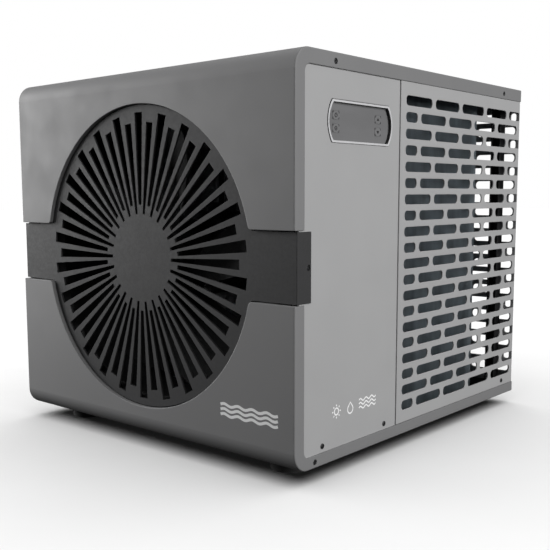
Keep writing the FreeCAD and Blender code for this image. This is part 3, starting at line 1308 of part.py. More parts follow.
def make_casing_screws():
    screws = []
    for side in (-1, 1):
        screws.append(side_screw(X_PANEL, RETURN_SCREW_Y, FAN_Z, side))
        for y, z in RIM_SCREWS:
            screws.append(side_screw(X_PANEL, y, z, side))
        for y, z in PANEL_SCREWS:
            face_x = X_VENT if side > 0 and y > SEAM_Y else X_PANEL
            screws.append(side_screw(face_x, y, z, side))
    for x, z in REAR_SCREWS:
        seat = Y_REAR_PANEL - REAR_SINK
        head = rod(V(x, seat, z), Y_AXIS, SCREW_HEAD_R, SCREW_HEAD_T)
        screws.append(join([head, rod(V(x, seat - SCREW_L, z), Y_AXIS, SCREW_R, SCREW_L)]))
    return Part.makeCompound(screws)


# ---------------------------------------------------------------- the whole unit
def build_parts():
    upper, lower = make_shells()
    parts = {
        "upper_shell": upper,
        "lower_shell": lower,
        "front_grille": make_front_grille(),
        "control_cover": make_control_cover(),
        "side_vent_panel": make_vent_panel(),
        "rear_vent_panel": make_rear_panel(),
        "left_panel": make_left_panel(),
        "rear_posts": Part.makeCompound([make_post(-1), make_post(1)]),
        "side_mullion": make_side_mullion(),
        "rubber_feet": make_feet(),
        "foot_screws": make_foot_screws(),
        "drain_pan": make_drain_pan(),
        "drain_nozzle": make_drain_nozzle(),
        "display_bezel": make_bezel(),
        "display_window": make_window(),
        "display_board": make_display_board(),
        "display_module": make_display_module(),
        "key_switches": make_key_switches(),
        "fan_shroud": make_shroud(),
        "shroud_studs": make_shroud_studs(),
        "fan_rotor": make_rotor(),
        "fan_shaft": make_shaft(),
        "fan_nut": make_fan_nut(),
        "fan_motor": make_motor(),
        "motor_bracket": make_motor_bracket(),
        "motor_screws": make_motor_screws(),
        "evaporator_fins": make_coil_fins(),
        "evaporator_end_plates": make_coil_end_plates(),
        "evaporator_return_bends": make_return_bends(),
        "partition": make_partition(),
        "compressor": make_compressor(),
        "compressor_grommets": make_grommets(),
        "compressor_bolts": make_compressor_bolts(),
        "terminal_cover": make_terminal_cover(),
        "accumulator": make_accumulator(),
        "heat_exchanger": make_exchanger(),
        "exchanger_cradle": make_exchanger_cradle(),
        "four_way_valve": make_valve(),
        "valve_coil": make_valve_coil(),
        "gas_pipes": make_gas_pipes(),
        "liquid_pipe": make_liquid_pipe(),
        "filter_drier": make_filter_drier(),
        "capillary_tube": make_capillary(),
        "water_nozzles": Part.makeCompound([make_nozzle(z) for z in WATER_Z]),
        "union_seals": Part.makeCompound([make_union_seal(z) for z in WATER_Z]),
        "hose_tails": Part.makeCompound([make_hose_tail(z) for z in WATER_Z]),
        "union_nut_inlet": make_union_nut(WATER_Z[0]),
        "union_nut_outlet": make_union_nut(WATER_Z[1]),
        "electrics_box": make_electrics_box(),
        "electrics_lid": make_electrics_lid(),
        "control_board": make_control_board(),
        "board_components": make_board_components(),
        "terminal_block": make_terminal_block(),
        "cable_gland": Part.makeCompound([make_gland(), make_gland_nut()]),
        "internal_leads": Part.makeCompound([make_display_lead(), make_motor_lead()]),
        "casing_screws": make_casing_screws(),
    }
    for name, (y, z) in zip(KEY_NAMES, key_places()):
        parts[name] = make_key(y, z)
    return parts


def write_part(name, shape):
    shape.translate(V(SHIFT_X, 0, 0))
    shape.exportStep("parts/" + name + ".step")
    print(name, len(shape.Solids), shape.isValid(), round(shape.Volume))


os.makedirs("parts", exist_ok=True)
for node, solid in build_parts().items():
    write_part(node, solid)
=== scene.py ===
import json
import math
import random

import bmesh
import bpy
from mathutils import Matrix, Vector


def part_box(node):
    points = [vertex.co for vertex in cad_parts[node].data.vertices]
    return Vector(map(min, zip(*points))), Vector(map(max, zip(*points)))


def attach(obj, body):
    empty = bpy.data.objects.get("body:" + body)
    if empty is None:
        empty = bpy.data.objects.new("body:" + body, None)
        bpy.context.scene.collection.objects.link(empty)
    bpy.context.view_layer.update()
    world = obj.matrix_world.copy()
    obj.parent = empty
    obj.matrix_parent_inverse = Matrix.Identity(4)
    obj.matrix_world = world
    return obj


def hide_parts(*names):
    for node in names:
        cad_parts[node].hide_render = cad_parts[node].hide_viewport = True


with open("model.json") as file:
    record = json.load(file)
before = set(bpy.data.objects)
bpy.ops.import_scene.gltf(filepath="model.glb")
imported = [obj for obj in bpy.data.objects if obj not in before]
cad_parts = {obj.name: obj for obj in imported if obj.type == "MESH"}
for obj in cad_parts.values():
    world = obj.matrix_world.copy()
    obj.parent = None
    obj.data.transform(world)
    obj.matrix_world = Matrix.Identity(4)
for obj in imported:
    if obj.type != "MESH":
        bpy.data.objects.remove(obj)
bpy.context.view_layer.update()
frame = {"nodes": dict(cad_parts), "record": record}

# Looks of a small box-shaped pool heat pump, in metres. The casing, its fan, coil and unions come
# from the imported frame; this script adds the fins and coil tubes, screw heads, hose barbs, key symbols
# and painted marks, every material, the floor, the lights and the camera.

NODES = frame["nodes"]

SHELL_LOW, SHELL_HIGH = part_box("upper_shell")
CASE_X = (SHELL_LOW.x + SHELL_HIGH.x) / 2
FRONT_Y = SHELL_LOW.y
CASE_BASE_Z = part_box("lower_shell")[0].z

MM = 0.001
FULL_TURN = 2 * math.pi
UP = Vector((0, 0, 1))
FRONT = Vector((0, -1, 0))
RIGHT = Vector((1, 0, 0))
LEFT = Vector((-1, 0, 0))
REAR = Vector((0, 1, 0))


# ---------------------------------------------------------------- materials
class Recipe:
    """A small helper round one material's node tree."""

    def __init__(self, name):
        self.material = bpy.data.materials.new(name)
        self.material.use_nodes = True
        self.tree = self.material.node_tree
        self.shader = self.tree.nodes["Principled BSDF"]
        self.place = self.add("ShaderNodeTexCoord").outputs["Object"]

    def add(self, kind, **settings):
        node = self.tree.nodes.new(kind)
        for key, value in settings.items():
            setattr(node, key, value)
        return node

    def link(self, source, target):
        self.tree.links.new(source, target)

    def noise(self, scale, detail=3.0, roughness=0.55, stretch=None):
        """Cloudy 0 to 1 pattern over the piece; stretch scales it along each axis."""
        node = self.add("ShaderNodeTexNoise")
        node.inputs["Scale"].default_value = scale
        node.inputs["Detail"].default_value = detail
        node.inputs["Roughness"].default_value = roughness
        source = self.place
        if stretch:
            mapping = self.add("ShaderNodeMapping")
            mapping.inputs["Scale"].default_value = stretch
            self.link(source, mapping.inputs["Vector"])
            source = mapping.outputs["Vector"]
        self.link(source, node.inputs["Vector"])
        return node.outputs["Fac"]

    def remap(self, source, low, high, start=0.3, stop=0.7):
        """Low where source is start, high where it is stop."""
        node = self.add("ShaderNodeMapRange")
        node.inputs["From Min"].default_value = start
        node.inputs["From Max"].default_value = stop
        node.inputs["To Min"].default_value = low
        node.inputs["To Max"].default_value = high
        self.link(source, node.inputs["Value"])
        return node.outputs["Result"]

    def blend(self, factor, first, second):
        """Colour that goes from first to second as factor goes from 0 to 1."""
        node = self.add("ShaderNodeMix", data_type="RGBA")
        self.link(factor, node.inputs["Factor"])
        for socket, value in ((node.inputs[6], first), (node.inputs[7], second)):
            if isinstance(value, tuple):
                socket.default_value = value + (1.0,)
            else:
                self.link(value, socket)
        return node.outputs[2]

    def edge_mask(self, radius, low=0.02, high=0.30):
        """0 on flat surface and 1 on sharp edges, from how far a rounded normal turns."""
        bevel = self.add("ShaderNodeBevel", samples=4)
        bevel.inputs["Radius"].default_value = radius
        geometry = self.add("ShaderNodeNewGeometry")
        product = self.add("ShaderNodeVectorMath", operation="DOT_PRODUCT")
        self.link(bevel.outputs["Normal"], product.inputs[0])
        self.link(geometry.outputs["Normal"], product.inputs[1])
        turned = self.add("ShaderNodeMath", operation="SUBTRACT")
        turned.inputs[0].default_value = 1.0
        self.link(product.outputs["Value"], turned.inputs[1])
        return self.remap(turned.outputs[0], 0.0, 1.0, low, high)

    def bump(self, height, strength, distance, rounding=None):
        """Surface grain; rounding is the radius in metres that sharp edges are shaded with."""
        node = self.add("ShaderNodeBump")
        node.inputs["Strength"].default_value = strength
        node.inputs["Distance"].default_value = distance
        self.link(height, node.inputs["Height"])
        if rounding:
            bevel = self.add("ShaderNodeBevel", samples=6)
            bevel.inputs["Radius"].default_value = rounding
            self.link(bevel.outputs["Normal"], node.inputs["Normal"])
        self.link(node.outputs["Normal"], self.shader.inputs["Normal"])

    def times(self, first, second):
        node = self.add("ShaderNodeMath", operation="MULTIPLY")
        self.link(first, node.inputs[0])
        if isinstance(second, (int, float)):
            node.inputs[1].default_value = second
        else:
            self.link(second, node.inputs[1])
        return node.outputs[0]

    def colour(self, value):
        self.link(value, self.shader.inputs["Base Color"])

    def rough(self, value):
        self.link(value, self.shader.inputs["Roughness"])


def shade(colour, factor):
    """The colour made darker or paler, never past white."""
    return tuple(min(1.0, channel * factor) for channel in colour)


def powder_coat(name, colour, rough_low, rough_high, edge_gain=1.25):
    """Satin powder coat: orange-peel bump, faint cloudy tone, paint slightly paler on folded edges."""
    recipe = Recipe(name)
    cloud = recipe.remap(recipe.noise(9.0, 4.0), 0.0, 1.0)
    speck = recipe.remap(recipe.noise(1900.0, 2.0), 0.0, 1.0)
    base = recipe.blend(cloud, shade(colour, 0.97), shade(colour, 1.03))
    fine = recipe.blend(recipe.times(speck, 0.25), base, shade(colour, 1.12))
    worn = recipe.times(recipe.edge_mask(0.0012), recipe.remap(recipe.noise(60.0, 4.0), 0.15, 0.6))
    recipe.colour(recipe.blend(worn, fine, shade(colour, edge_gain)))
    recipe.rough(recipe.remap(recipe.noise(35.0, 4.0), rough_low, rough_high))
    recipe.shader.inputs["Specular IOR Level"].default_value = 0.35
    recipe.bump(recipe.noise(1100.0, 2.0), 0.10, 0.0002, 0.0009)
    return recipe.material


def moulded_plastic(name, colour, rough_low, rough_high, grain=1500.0, grain_strength=0.18, edge_gain=1.5):
    """Injection-moulded plastic: fine spark grain, faint flow marks, edges rubbed a little paler."""
    recipe = Recipe(name)
    flow = recipe.remap(recipe.noise(14.0, 5.0, 0.6, (1.0, 1.0, 3.0)), 0.0, 1.0)
    base = recipe.blend(flow, shade(colour, 0.92), shade(colour, 1.08))
    worn = recipe.times(recipe.edge_mask(0.0008), recipe.remap(recipe.noise(90.0, 4.0), 0.1, 0.7))
    recipe.colour(recipe.blend(worn, base, shade(colour, edge_gain)))
    recipe.rough(recipe.remap(recipe.noise(grain / 3, 3.0), rough_low, rough_high))
    recipe.shader.inputs["Specular IOR Level"].default_value = 0.3
    recipe.bump(recipe.noise(grain, 3.0), grain_strength, 0.00015)
    return recipe.material


def rimmed_plastic(name, rim, body):
    """A moulding whose outward-facing ring is painted paler, and whose other faces, the walls round its
    recess, are painted near-black as shade.
    """
    recipe = Recipe(name)
    parts = recipe.add("ShaderNodeSeparateXYZ")
    recipe.link(recipe.add("ShaderNodeTexCoord").outputs["Normal"], parts.inputs["Vector"])
    outward_facing = recipe.remap(parts.outputs["X"], 0.0, 1.0, 0.5, 0.9)
    flow = recipe.remap(recipe.noise(40.0, 4.0), 0.0, 1.0)
    paint = recipe.blend(flow, shade(rim, 0.95), shade(rim, 1.05))
    # Faces not turned outward, the recess walls, take the near-black body colour: painted shade.
    painted_shade_walls = recipe.blend(flow, shade(body, 0.9), shade(body, 1.1))
    recipe.colour(recipe.blend(outward_facing, painted_shade_walls, paint))
    recipe.rough(recipe.remap(recipe.noise(600.0, 3.0), 0.4, 0.52))
    recipe.bump(recipe.noise(1800.0, 3.0), 0.08, 0.00015)
    return recipe.material


def rubber(name, colour):
    """Matt rubber with a little dust on it."""
    recipe = Recipe(name)
    dust = recipe.remap(recipe.noise(120.0, 5.0), 0.0, 0.5)
    recipe.colour(recipe.blend(dust, colour, shade(colour, 2.2)))
    recipe.rough(recipe.remap(recipe.noise(260.0, 3.0), 0.72, 0.92))
    recipe.bump(recipe.noise(900.0, 4.0), 0.3, 0.0002)
    return recipe.material


def galvanised(name, colour):
    """Zinc sheet with a spangle of crystals."""
    recipe = Recipe(name)
    cells = recipe.add("ShaderNodeTexVoronoi")
    cells.inputs["Scale"].default_value = 140.0
    recipe.link(recipe.place, cells.inputs["Vector"])
    tone = recipe.add("ShaderNodeSeparateColor")
    recipe.link(cells.outputs["Color"], tone.inputs["Color"])
    spangle = recipe.remap(tone.outputs["Red"], 0.0, 1.0, 0.0, 1.0)
    recipe.colour(recipe.blend(spangle, shade(colour, 0.82), shade(colour, 1.08)))
    recipe.rough(recipe.remap(spangle, 0.34, 0.52, 0.0, 1.0))
    recipe.shader.inputs["Metallic"].default_value = 0.9
    recipe.bump(recipe.noise(700.0, 3.0), 0.12, 0.0001)
    return recipe.material


def metal(name, colour, rough_low, rough_high, stain, stretch=(1.0, 1.0, 1.0)):
    """Drawn or turned metal: fine marks along the work, with a tarnish of the stain colour."""
    recipe = Recipe(name)
    tarnish = recipe.remap(recipe.noise(70.0, 6.0, 0.65), 0.0, 0.8, 0.42, 0.72)
    marks = recipe.noise(650.0, 4.0, 0.6, stretch)
    recipe.colour(recipe.blend(tarnish, colour, stain))
    recipe.rough(recipe.remap(marks, rough_low, rough_high))
    recipe.shader.inputs["Metallic"].default_value = 1.0
    recipe.bump(marks, 0.10, 0.0001)
    return recipe.material


def fin_stock(name, colour):
    """Coated aluminium fin: satin, with condensate streaks running down."""
    recipe = Recipe(name)
    streaks = recipe.remap(recipe.noise(60.0, 4.0, 0.6, (1.0, 1.0, 0.08)), 0.0, 1.0)
    recipe.colour(recipe.blend(streaks, shade(colour, 0.8), shade(colour, 1.2)))
    recipe.rough(recipe.remap(recipe.noise(400.0, 3.0), 0.32, 0.5))
    recipe.shader.inputs["Metallic"].default_value = 0.55
    recipe.bump(recipe.noise(500.0, 2.0), 0.08, 0.0002)
    return recipe.material


def circuit_board(name, colour):
    """Green board with fine lighter tracks."""
    recipe = Recipe(name)
    bricks = recipe.add("ShaderNodeTexBrick", offset=0.37, squash=0.6)
    bricks.inputs["Scale"].default_value = 260.0
    bricks.inputs["Mortar Size"].default_value = 0.06
    bricks.inputs["Color1"].default_value = colour + (1.0,)
    bricks.inputs["Color2"].default_value = shade(colour, 0.85) + (1.0,)
    bricks.inputs["Mortar"].default_value = shade(colour, 2.0) + (1.0,)
    recipe.link(recipe.place, bricks.inputs["Vector"])
    recipe.colour(bricks.outputs["Color"])
    recipe.rough(recipe.remap(recipe.noise(300.0), 0.25, 0.42))
    recipe.bump(bricks.outputs["Fac"], 0.2, 0.0001)
    return recipe.material


def printed_ink(name, colour):
    """Screen-printed ink, slightly uneven."""
    recipe = Recipe(name)
    grain = recipe.remap(recipe.noise(1400.0, 3.0), 0.0, 1.0)
    recipe.colour(recipe.blend(grain, shade(colour, 0.94), colour))
    recipe.rough(recipe.remap(recipe.noise(500.0), 0.4, 0.55))
    recipe.bump(recipe.noise(1400.0), 0.08, 0.0001)
    return recipe.material


def make_materials():
    """One material for each slot name, and the two inks."""
    return {
        "shell_grey": powder_coat("shell_grey", (0.175, 0.175, 0.177), 0.56, 0.66),
        "panel_grey": powder_coat("panel_grey", (0.33, 0.33, 0.332), 0.52, 0.62),
        "charcoal_plastic": moulded_plastic("charcoal_plastic", (0.030, 0.030, 0.031), 0.6, 0.72),
        "black_plastic": moulded_plastic("black_plastic", (0.008, 0.008, 0.0085), 0.55, 0.7),
        # The near-black second colour is painted shade on the bezel's recess walls.
        "bezel_grey": rimmed_plastic("bezel_grey", (0.52, 0.52, 0.53), (0.006, 0.006, 0.006)),
        "membrane": moulded_plastic("membrane", (0.15, 0.15, 0.153), 0.36, 0.5, 2200.0, 0.1, 1.15),
        "key_plastic": moulded_plastic("key_plastic", (0.16, 0.16, 0.163), 0.36, 0.5, 2200.0, 0.1, 1.3),
        "circuit_board": circuit_board("circuit_board", (0.02, 0.13, 0.06)),
        "component_black": moulded_plastic("component_black", (0.02, 0.02, 0.022), 0.35, 0.5),
        "galvanised": galvanised("galvanised", (0.55, 0.56, 0.57)),
        "black_steel": powder_coat("black_steel", (0.012, 0.012, 0.013), 0.3, 0.42, 2.5),
        "screw_steel": metal("screw_steel", (0.05, 0.05, 0.052), 0.42, 0.58, (0.02, 0.02, 0.02)),
        "rubber": rubber("rubber", (0.014, 0.014, 0.014)),
        "coil_fins": fin_stock("coil_fins", (0.50, 0.56, 0.60)),
        "copper": metal("copper", (0.80, 0.40, 0.25), 0.22, 0.4, (0.30, 0.13, 0.08), (1.0, 1.0, 0.2)),
        "brass": metal("brass", (0.75, 0.57, 0.28), 0.25, 0.42, (0.35, 0.24, 0.10)),
        "exchanger_shell": moulded_plastic("exchanger_shell", (0.05, 0.05, 0.055), 0.35, 0.5, 900.0),
        "union_plastic": moulded_plastic("union_plastic", (0.52, 0.53, 0.54), 0.3, 0.42, 1200.0, 0.1, 1.15),
        "fan_plastic": moulded_plastic("fan_plastic", (0.006, 0.006, 0.0065), 0.6, 0.75),
        "motor_can": powder_coat("motor_can", (0.03, 0.03, 0.034), 0.35, 0.5, 2.0),
        "shaft_steel": metal("shaft_steel", (0.6, 0.6, 0.62), 0.15, 0.3, (0.4, 0.4, 0.4), (1.0, 0.05, 1.0)),
        "lead_jacket": rubber("lead_jacket", (0.02, 0.02, 0.02)),
        "white_ink": printed_ink("white_ink", (0.86, 0.86, 0.86)),
        "dark_ink": printed_ink("dark_ink", (0.012, 0.012, 0.012)),
    }


MATERIALS = make_materials()


def dress_frame():
    """Every CAD node takes the material of its slot."""
    slots = {entry["node"]: entry["material_slot"] for entry in frame["record"]["subparts"]}
    for name, node in NODES.items():
        node.data.materials.clear()
        node.data.materials.append(MATERIALS[slots[name]])


# ---------------------------------------------------------------- mesh helpers
SHARP_ANGLE = math.radians(35)


def new_piece(name, bm, material, body="casing", smooth=True):
    """Turn bm into a visible object that moves with body, under the CAD material slot given."""
    mesh = bpy.data.meshes.new(name)
    bmesh.ops.recalc_face_normals(bm, faces=bm.faces)
    bm.to_mesh(mesh)
    bm.free()
    piece = bpy.data.objects.new(name, mesh)
    bpy.context.scene.collection.objects.link(piece)
    mesh.materials.append(MATERIALS[material])
    if smooth:
        mesh.shade_smooth()
        mesh.set_sharp_from_angle(angle=SHARP_ANGLE)
    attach(piece, body)
    return piece


def circle(radius, steps, start=0.0, sweep=FULL_TURN, centre=(0.0, 0.0)):
    """Points (u, v) on a circle, or on an arc when sweep is less than a full turn."""
    count = steps if sweep == FULL_TURN else steps + 1
    return [(centre[0] + radius * math.cos(start + sweep * index / steps),
             centre[1] + radius * math.sin(start + sweep * index / steps)) for index in range(count)]


def join_rings(bm, first, second):
    """Close the gap between two rings of the same number of vertices."""
    count = len(first)
    for index in range(count):
        after = (index + 1) % count
        bm.faces.new((first[index], first[after], second[after], second[index]))


def add_prism(bm, outline, thickness, turn):
    """A flat plate with outline points (u, v), from w = 0 to thickness, stood up by the matrix turn."""
    back = [bm.verts.new(turn @ Vector((u, v, 0.0))) for u, v in outline]
    front = [bm.verts.new(turn @ Vector((u, v, thickness))) for u, v in outline]
    bm.faces.new(list(reversed(back)))
    bm.faces.new(front)
    join_rings(bm, back, front)


def add_ribbon(bm, line, width, thickness, turn, closed=False):
    """A flat strip of the given width along a line of (u, v) points."""
    left = []
    right = []
    count = len(line)
    for index, (u, v) in enumerate(line):
        before = line[(index - 1) % count] if closed or index > 0 else line[0]
        after = line[(index + 1) % count] if closed or index < count - 1 else line[-1]
        along = Vector((after[0] - before[0], after[1] - before[1]))
        along.normalize()
        left.append((u - along.y * width / 2, v + along.x * width / 2))
        right.append((u + along.y * width / 2, v - along.x * width / 2))
    sides = [[bm.verts.new(turn @ Vector((u, v, w))) for u, v in side]
             for side in (left, right) for w in (0.0, thickness)]
    left_low, left_high, right_low, right_high = sides
    spans = count if closed else count - 1
    for index in range(spans):
        after = (index + 1) % count
        bm.faces.new((left_high[index], right_high[index], right_high[after], left_high[after]))
        bm.faces.new((left_low[index], left_low[after], right_low[after], right_low[index]))
        bm.faces.new((left_low[index], left_high[index], left_high[after], left_low[after]))
        bm.faces.new((right_low[index], right_low[after], right_high[after], right_high[index]))
    if not closed:
        bm.faces.new((left_low[0], right_low[0], right_high[0], left_high[0]))
        bm.faces.new((left_low[-1], left_high[-1], right_high[-1], right_low[-1]))


def add_lathe(bm, profile, turn, steps=48):
    """A closed ring of revolution: profile points (radius, w) turned about w."""
    rings = [[bm.verts.new(turn @ Vector((u, v, w))) for u, v in circle(radius, steps)]
             for radius, w in profile]
    for first, second in zip(rings, rings[1:] + rings[:1]):
        join_rings(bm, first, second)


def add_tube(bm, path, radius, sides=12):
    """A closed round bar along a list of points lying in one horizontal plane."""
    rings = []
    for index, point in enumerate(path):
        before = path[max(index - 1, 0)]
        after = path[min(index + 1, len(path) - 1)]
        along = (after - before).normalized()
        across = UP.cross(along).normalized()
        rings.append([bm.verts.new(point + across * u + UP * v) for u, v in circle(radius, sides)])
    for first, second in zip(rings, rings[1:]):
        join_rings(bm, first, second)
    bm.faces.new(rings[0])
    bm.faces.new(list(reversed(rings[-1])))


def facing(place, outward, up):
    """Matrix whose u runs to the viewer's right, v up and w outward, with its origin at place."""
    right = up.cross(outward).normalized()
    return Matrix((
        (right.x, up.x, outward.x, place.x),
        (right.y, up.y, outward.y, place.y),
        (right.z, up.z, outward.z, place.z),
        (0.0, 0.0, 0.0, 1.0)))


def islands(node):
    """The box (low, high) of each separate solid of a CAD node."""
    mesh = NODES[node].data
    parent = list(range(len(mesh.vertices)))

    def root(item):
        while parent[item] != item:
            parent[item] = parent[parent[item]]
            item = parent[item]
        return item

    where = {}
    for vertex in mesh.vertices:
        key = tuple(round(c, 6) for c in vertex.co)
        if key in where:
            parent[root(vertex.index)] = root(where[key])
        else:
            where[key] = vertex.index
    for edge in mesh.edges:
        parent[root(edge.vertices[0])] = root(edge.vertices[1])
    groups = {}
    for vertex in mesh.vertices:
        groups.setdefault(root(vertex.index), []).append(vertex.co)
    boxes = []
    for points in groups.values():
        low = Vector([min(p[axis] for p in points) for axis in range(3)])
        high = Vector([max(p[axis] for p in points) for axis in range(3)])
        boxes.append((low, high))
    return boxes


# ---------------------------------------------------------------- screws with crossed recesses
SCREW_HEAD_R = 2.1 * MM
SCREW_HEAD_T = 1.0 * MM
SCREW_SHANK_R = 1.3 * MM
SCREW_RINGS = 9
SCREW_STEPS = 48
CROWN_DROP = 0.45
CROSS_HALF_W = 0.36 * MM
CROSS_R = 1.35 * MM
CROSS_DEPTH = 0.55 * MM
CROSS_FADE_R = 1.9 * MM


def recess_depth(u, v, radius):
    """How far the cross recess cuts below the crown at (u, v), deepest in the middle."""
    if min(abs(u), abs(v)) < CROSS_HALF_W and radius < CROSS_R:
        return CROSS_DEPTH * (1.0 - radius / CROSS_FADE_R)
    return 0.0


def add_screw(bm, turn, length):
    """A pan head with a cross recess, w = 0 under the head and pointing outward."""
    centre = bm.verts.new(turn @ Vector((0, 0, SCREW_HEAD_T - CROSS_DEPTH)))
    rim = None
    for ring in range(1, SCREW_RINGS):
        share = ring / (SCREW_RINGS - 1)
        radius = SCREW_HEAD_R * share
        crown = SCREW_HEAD_T * (1.0 - CROWN_DROP * share ** 3)
        verts = [bm.verts.new(turn @ Vector((u, v, crown - recess_depth(u, v, radius))))
                 for u, v in circle(radius, SCREW_STEPS)]
        if rim:
            join_rings(bm, rim, verts)
        else:
            for index in range(SCREW_STEPS):
                bm.faces.new((centre, verts[index], verts[(index + 1) % SCREW_STEPS]))
        rim = verts
    for radius, w in ((SCREW_HEAD_R, 0.0), (SCREW_SHANK_R, 0.0), (SCREW_SHANK_R, -length)):
        verts = [bm.verts.new(turn @ Vector((u, v, w))) for u, v in circle(radius, SCREW_STEPS)]
        join_rings(bm, rim, verts)
        rim = verts
    bm.faces.new(rim)


def make_casing_screws():
    """A screw with a cross recess in place of each CAD screw, each turned to its own angle."""
    bm = bmesh.new()
    for low, high in islands("casing_screws"):
        middle = (low + high) / 2
        size = high - low
        if size.y > size.x:
            outward = REAR
            place = Vector((middle.x, high.y - SCREW_HEAD_T, middle.z))
        elif middle.x > CASE_X:
            outward = RIGHT
            place = Vector((high.x - SCREW_HEAD_T, middle.y, middle.z))
        else:
            outward = LEFT
            place = Vector((low.x + SCREW_HEAD_T, middle.y, middle.z))
        length = max(size.x, size.y) - SCREW_HEAD_T
        spin = Matrix.Rotation(random.uniform(0, math.pi / 2), 4, "Z")
        add_screw(bm, facing(place, outward, UP) @ spin, length)
    piece = new_piece("casing_screw_heads", bm, "screw_steel")
    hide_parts("casing_screws")


# ---------------------------------------------------------------- evaporator
COIL_T = 22.0 * MM
COIL_BEND_R = 50.0 * MM
FIN_PITCH = 1.9 * MM
FIN_T = 0.22 * MM
TUBE_R = 3.6 * MM
TUBE_ROWS = 12
TUBE_PITCH = 21.0 * MM
TUBE_FIRST = 24.0 * MM
TUBE_HALF_GAP = 6.0 * MM
TUBE_STEP = 8.0 * MM


def coil_path(offset, spacing):
    """Points and outward normals along the coil, offset inwards from its outer face."""
    low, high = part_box("evaporator_fins")
    centre = Vector((high.x - COIL_BEND_R, high.y - COIL_BEND_R, 0))
    radius = COIL_BEND_R - offset
    side = centre.y - low.y
    bend = COIL_BEND_R * math.pi / 2
    back = centre.x - low.x
    total = side + bend + back
    count = int(total / spacing)
    path = []
    for index in range(count + 1):
        along = total * index / count
        if along <= side:
            path.append((Vector((high.x - offset, low.y + along, 0)), RIGHT))
        elif along <= side + bend:
            angle = (along - side) / COIL_BEND_R
            normal = Vector((math.cos(angle), math.sin(angle), 0))
            path.append((centre + normal * radius, normal))
        else:
            path.append((Vector((centre.x - (along - side - bend), high.y - offset, 0)), REAR))
    return path


def make_fin_pack():
    """Separate thin fins in place of the solid block, with the tubes that run through them."""
    low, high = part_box("evaporator_fins")
    bm = bmesh.new()
    for point, normal in coil_path(0.0, FIN_PITCH):
        along = UP.cross(normal) * FIN_T / 2
        inner = point - normal * COIL_T
        corners = []
        for place in (point, inner):
            for sign in (-1, 1):
                for z in (low.z, high.z):
                    corners.append(bm.verts.new(Vector((place.x, place.y, z)) + along * sign))
        for quad in ((0, 1, 3, 2), (4, 6, 7, 5), (0, 4, 5, 1), (2, 3, 7, 6), (0, 2, 6, 4), (1, 5, 7, 3)):
            bm.faces.new([corners[index] for index in quad])
    fins = new_piece("fin_pack", bm, "coil_fins", smooth=False)
    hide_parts("evaporator_fins")
    bm = bmesh.new()
    for row in range(TUBE_ROWS):
        for sign in (-1, 1):
            z = low.z + TUBE_FIRST + row * TUBE_PITCH + sign * TUBE_HALF_GAP
            path = [point + Vector((0, 0, z)) for point, normal in coil_path(COIL_T / 2, TUBE_STEP)]
            add_tube(bm, path, TUBE_R)
    new_piece("coil_tubes", bm, "copper")


# ---------------------------------------------------------------- hose tails with barbs
TAIL_BORE = 13.0 * MM
TAIL_FLANGE_T = 4.0 * MM
TAIL_NECK_R = 18.4 * MM
TAIL_NECK_T = 4.0 * MM
TAIL_WIDE_R = 19.0 * MM
TAIL_WIDE_L = 16.0 * MM
TAIL_NARROW_R = 16.0 * MM
BARB_DEPTH = 0.9 * MM
BARBS = 4
BARB_RAMP = 0.8
TIP_CHAMFER = 0.8 * MM
TAIL_STEPS = 64


def barbed_profile(low, high):
    """Radius against distance along one tail: flange, neck inside the nut, two barbed steps."""
    flange_r = (high.z - low.z) / 2
    length = high.x - low.x
    neck = TAIL_FLANGE_T + TAIL_NECK_T
    profile = [(TAIL_BORE, 0.0), (flange_r, 0.0), (flange_r, TAIL_FLANGE_T),
               (TAIL_NECK_R, TAIL_FLANGE_T), (TAIL_NECK_R, neck)]
    wide_end = neck + TAIL_WIDE_L
    for radius, start, end in ((TAIL_WIDE_R, neck, wide_end), (TAIL_NARROW_R, wide_end, length)):
        pitch = (end - start) / (BARBS + 1)
        profile.append((radius, start))
        profile.append((radius, start + pitch * BARB_RAMP))
        for barb in range(BARBS):
            w = start + pitch * (barb + 1)
            profile.append((radius - BARB_DEPTH, w))
            profile.append((radius, w + pitch * BARB_RAMP))
    profile.append((TAIL_NARROW_R - TIP_CHAMFER, length))
    profile.append((TAIL_BORE, length))
    return profile


def make_hose_tails():
    """Both hollow tails with their barbs."""
    bm = bmesh.new()
    for low, high in islands("hose_tails"):
        middle = (low + high) / 2
        place = Vector((high.x, middle.y, middle.z))
        add_lathe(bm, barbed_profile(low, high), facing(place, LEFT, UP), TAIL_STEPS)
    piece = new_piece("barbed_hose_tails", bm, "union_plastic")
    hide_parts("hose_tails")


# ---------------------------------------------------------------- key symbols
SYMBOL_LINE = 0.55 * MM
SYMBOL_T = 0.12 * MM
BRACKET_HALF_W = 3.9 * MM
BRACKET_HALF_H = 2.7 * MM
BRACKET_ARM = 1.3 * MM
POWER_R = 1.5 * MM
POWER_START = math.radians(125)
POWER_SWEEP = math.radians(290)
POWER_BAR = (0.2 * MM, 1.9 * MM)
MODE_R = 1.4 * MM
MODE_DOT_R = 0.5 * MM
ARROW_HALF_W = 1.7 * MM
ARROW_TIP = 1.5 * MM
ARROW_FOOT = 0.9 * MM


def add_corner_brackets(bm, turn):
    """The four corner angles that frame a key."""
    for su in (-1, 1):
        for sv in (-1, 1):
            line = [(su * (BRACKET_HALF_W - BRACKET_ARM), sv * BRACKET_HALF_H),
                    (su * BRACKET_HALF_W, sv * BRACKET_HALF_H),
                    (su * BRACKET_HALF_W, sv * (BRACKET_HALF_H - BRACKET_ARM))]
            add_ribbon(bm, line, SYMBOL_LINE, SYMBOL_T, turn)


def power_symbol(bm, turn):
    """An open ring with an upright bar in its gap."""
    add_ribbon(bm, circle(POWER_R, 20, POWER_START, POWER_SWEEP), SYMBOL_LINE, SYMBOL_T, turn)
    add_ribbon(bm, [(0.0, v) for v in POWER_BAR], SYMBOL_LINE, SYMBOL_T, turn)


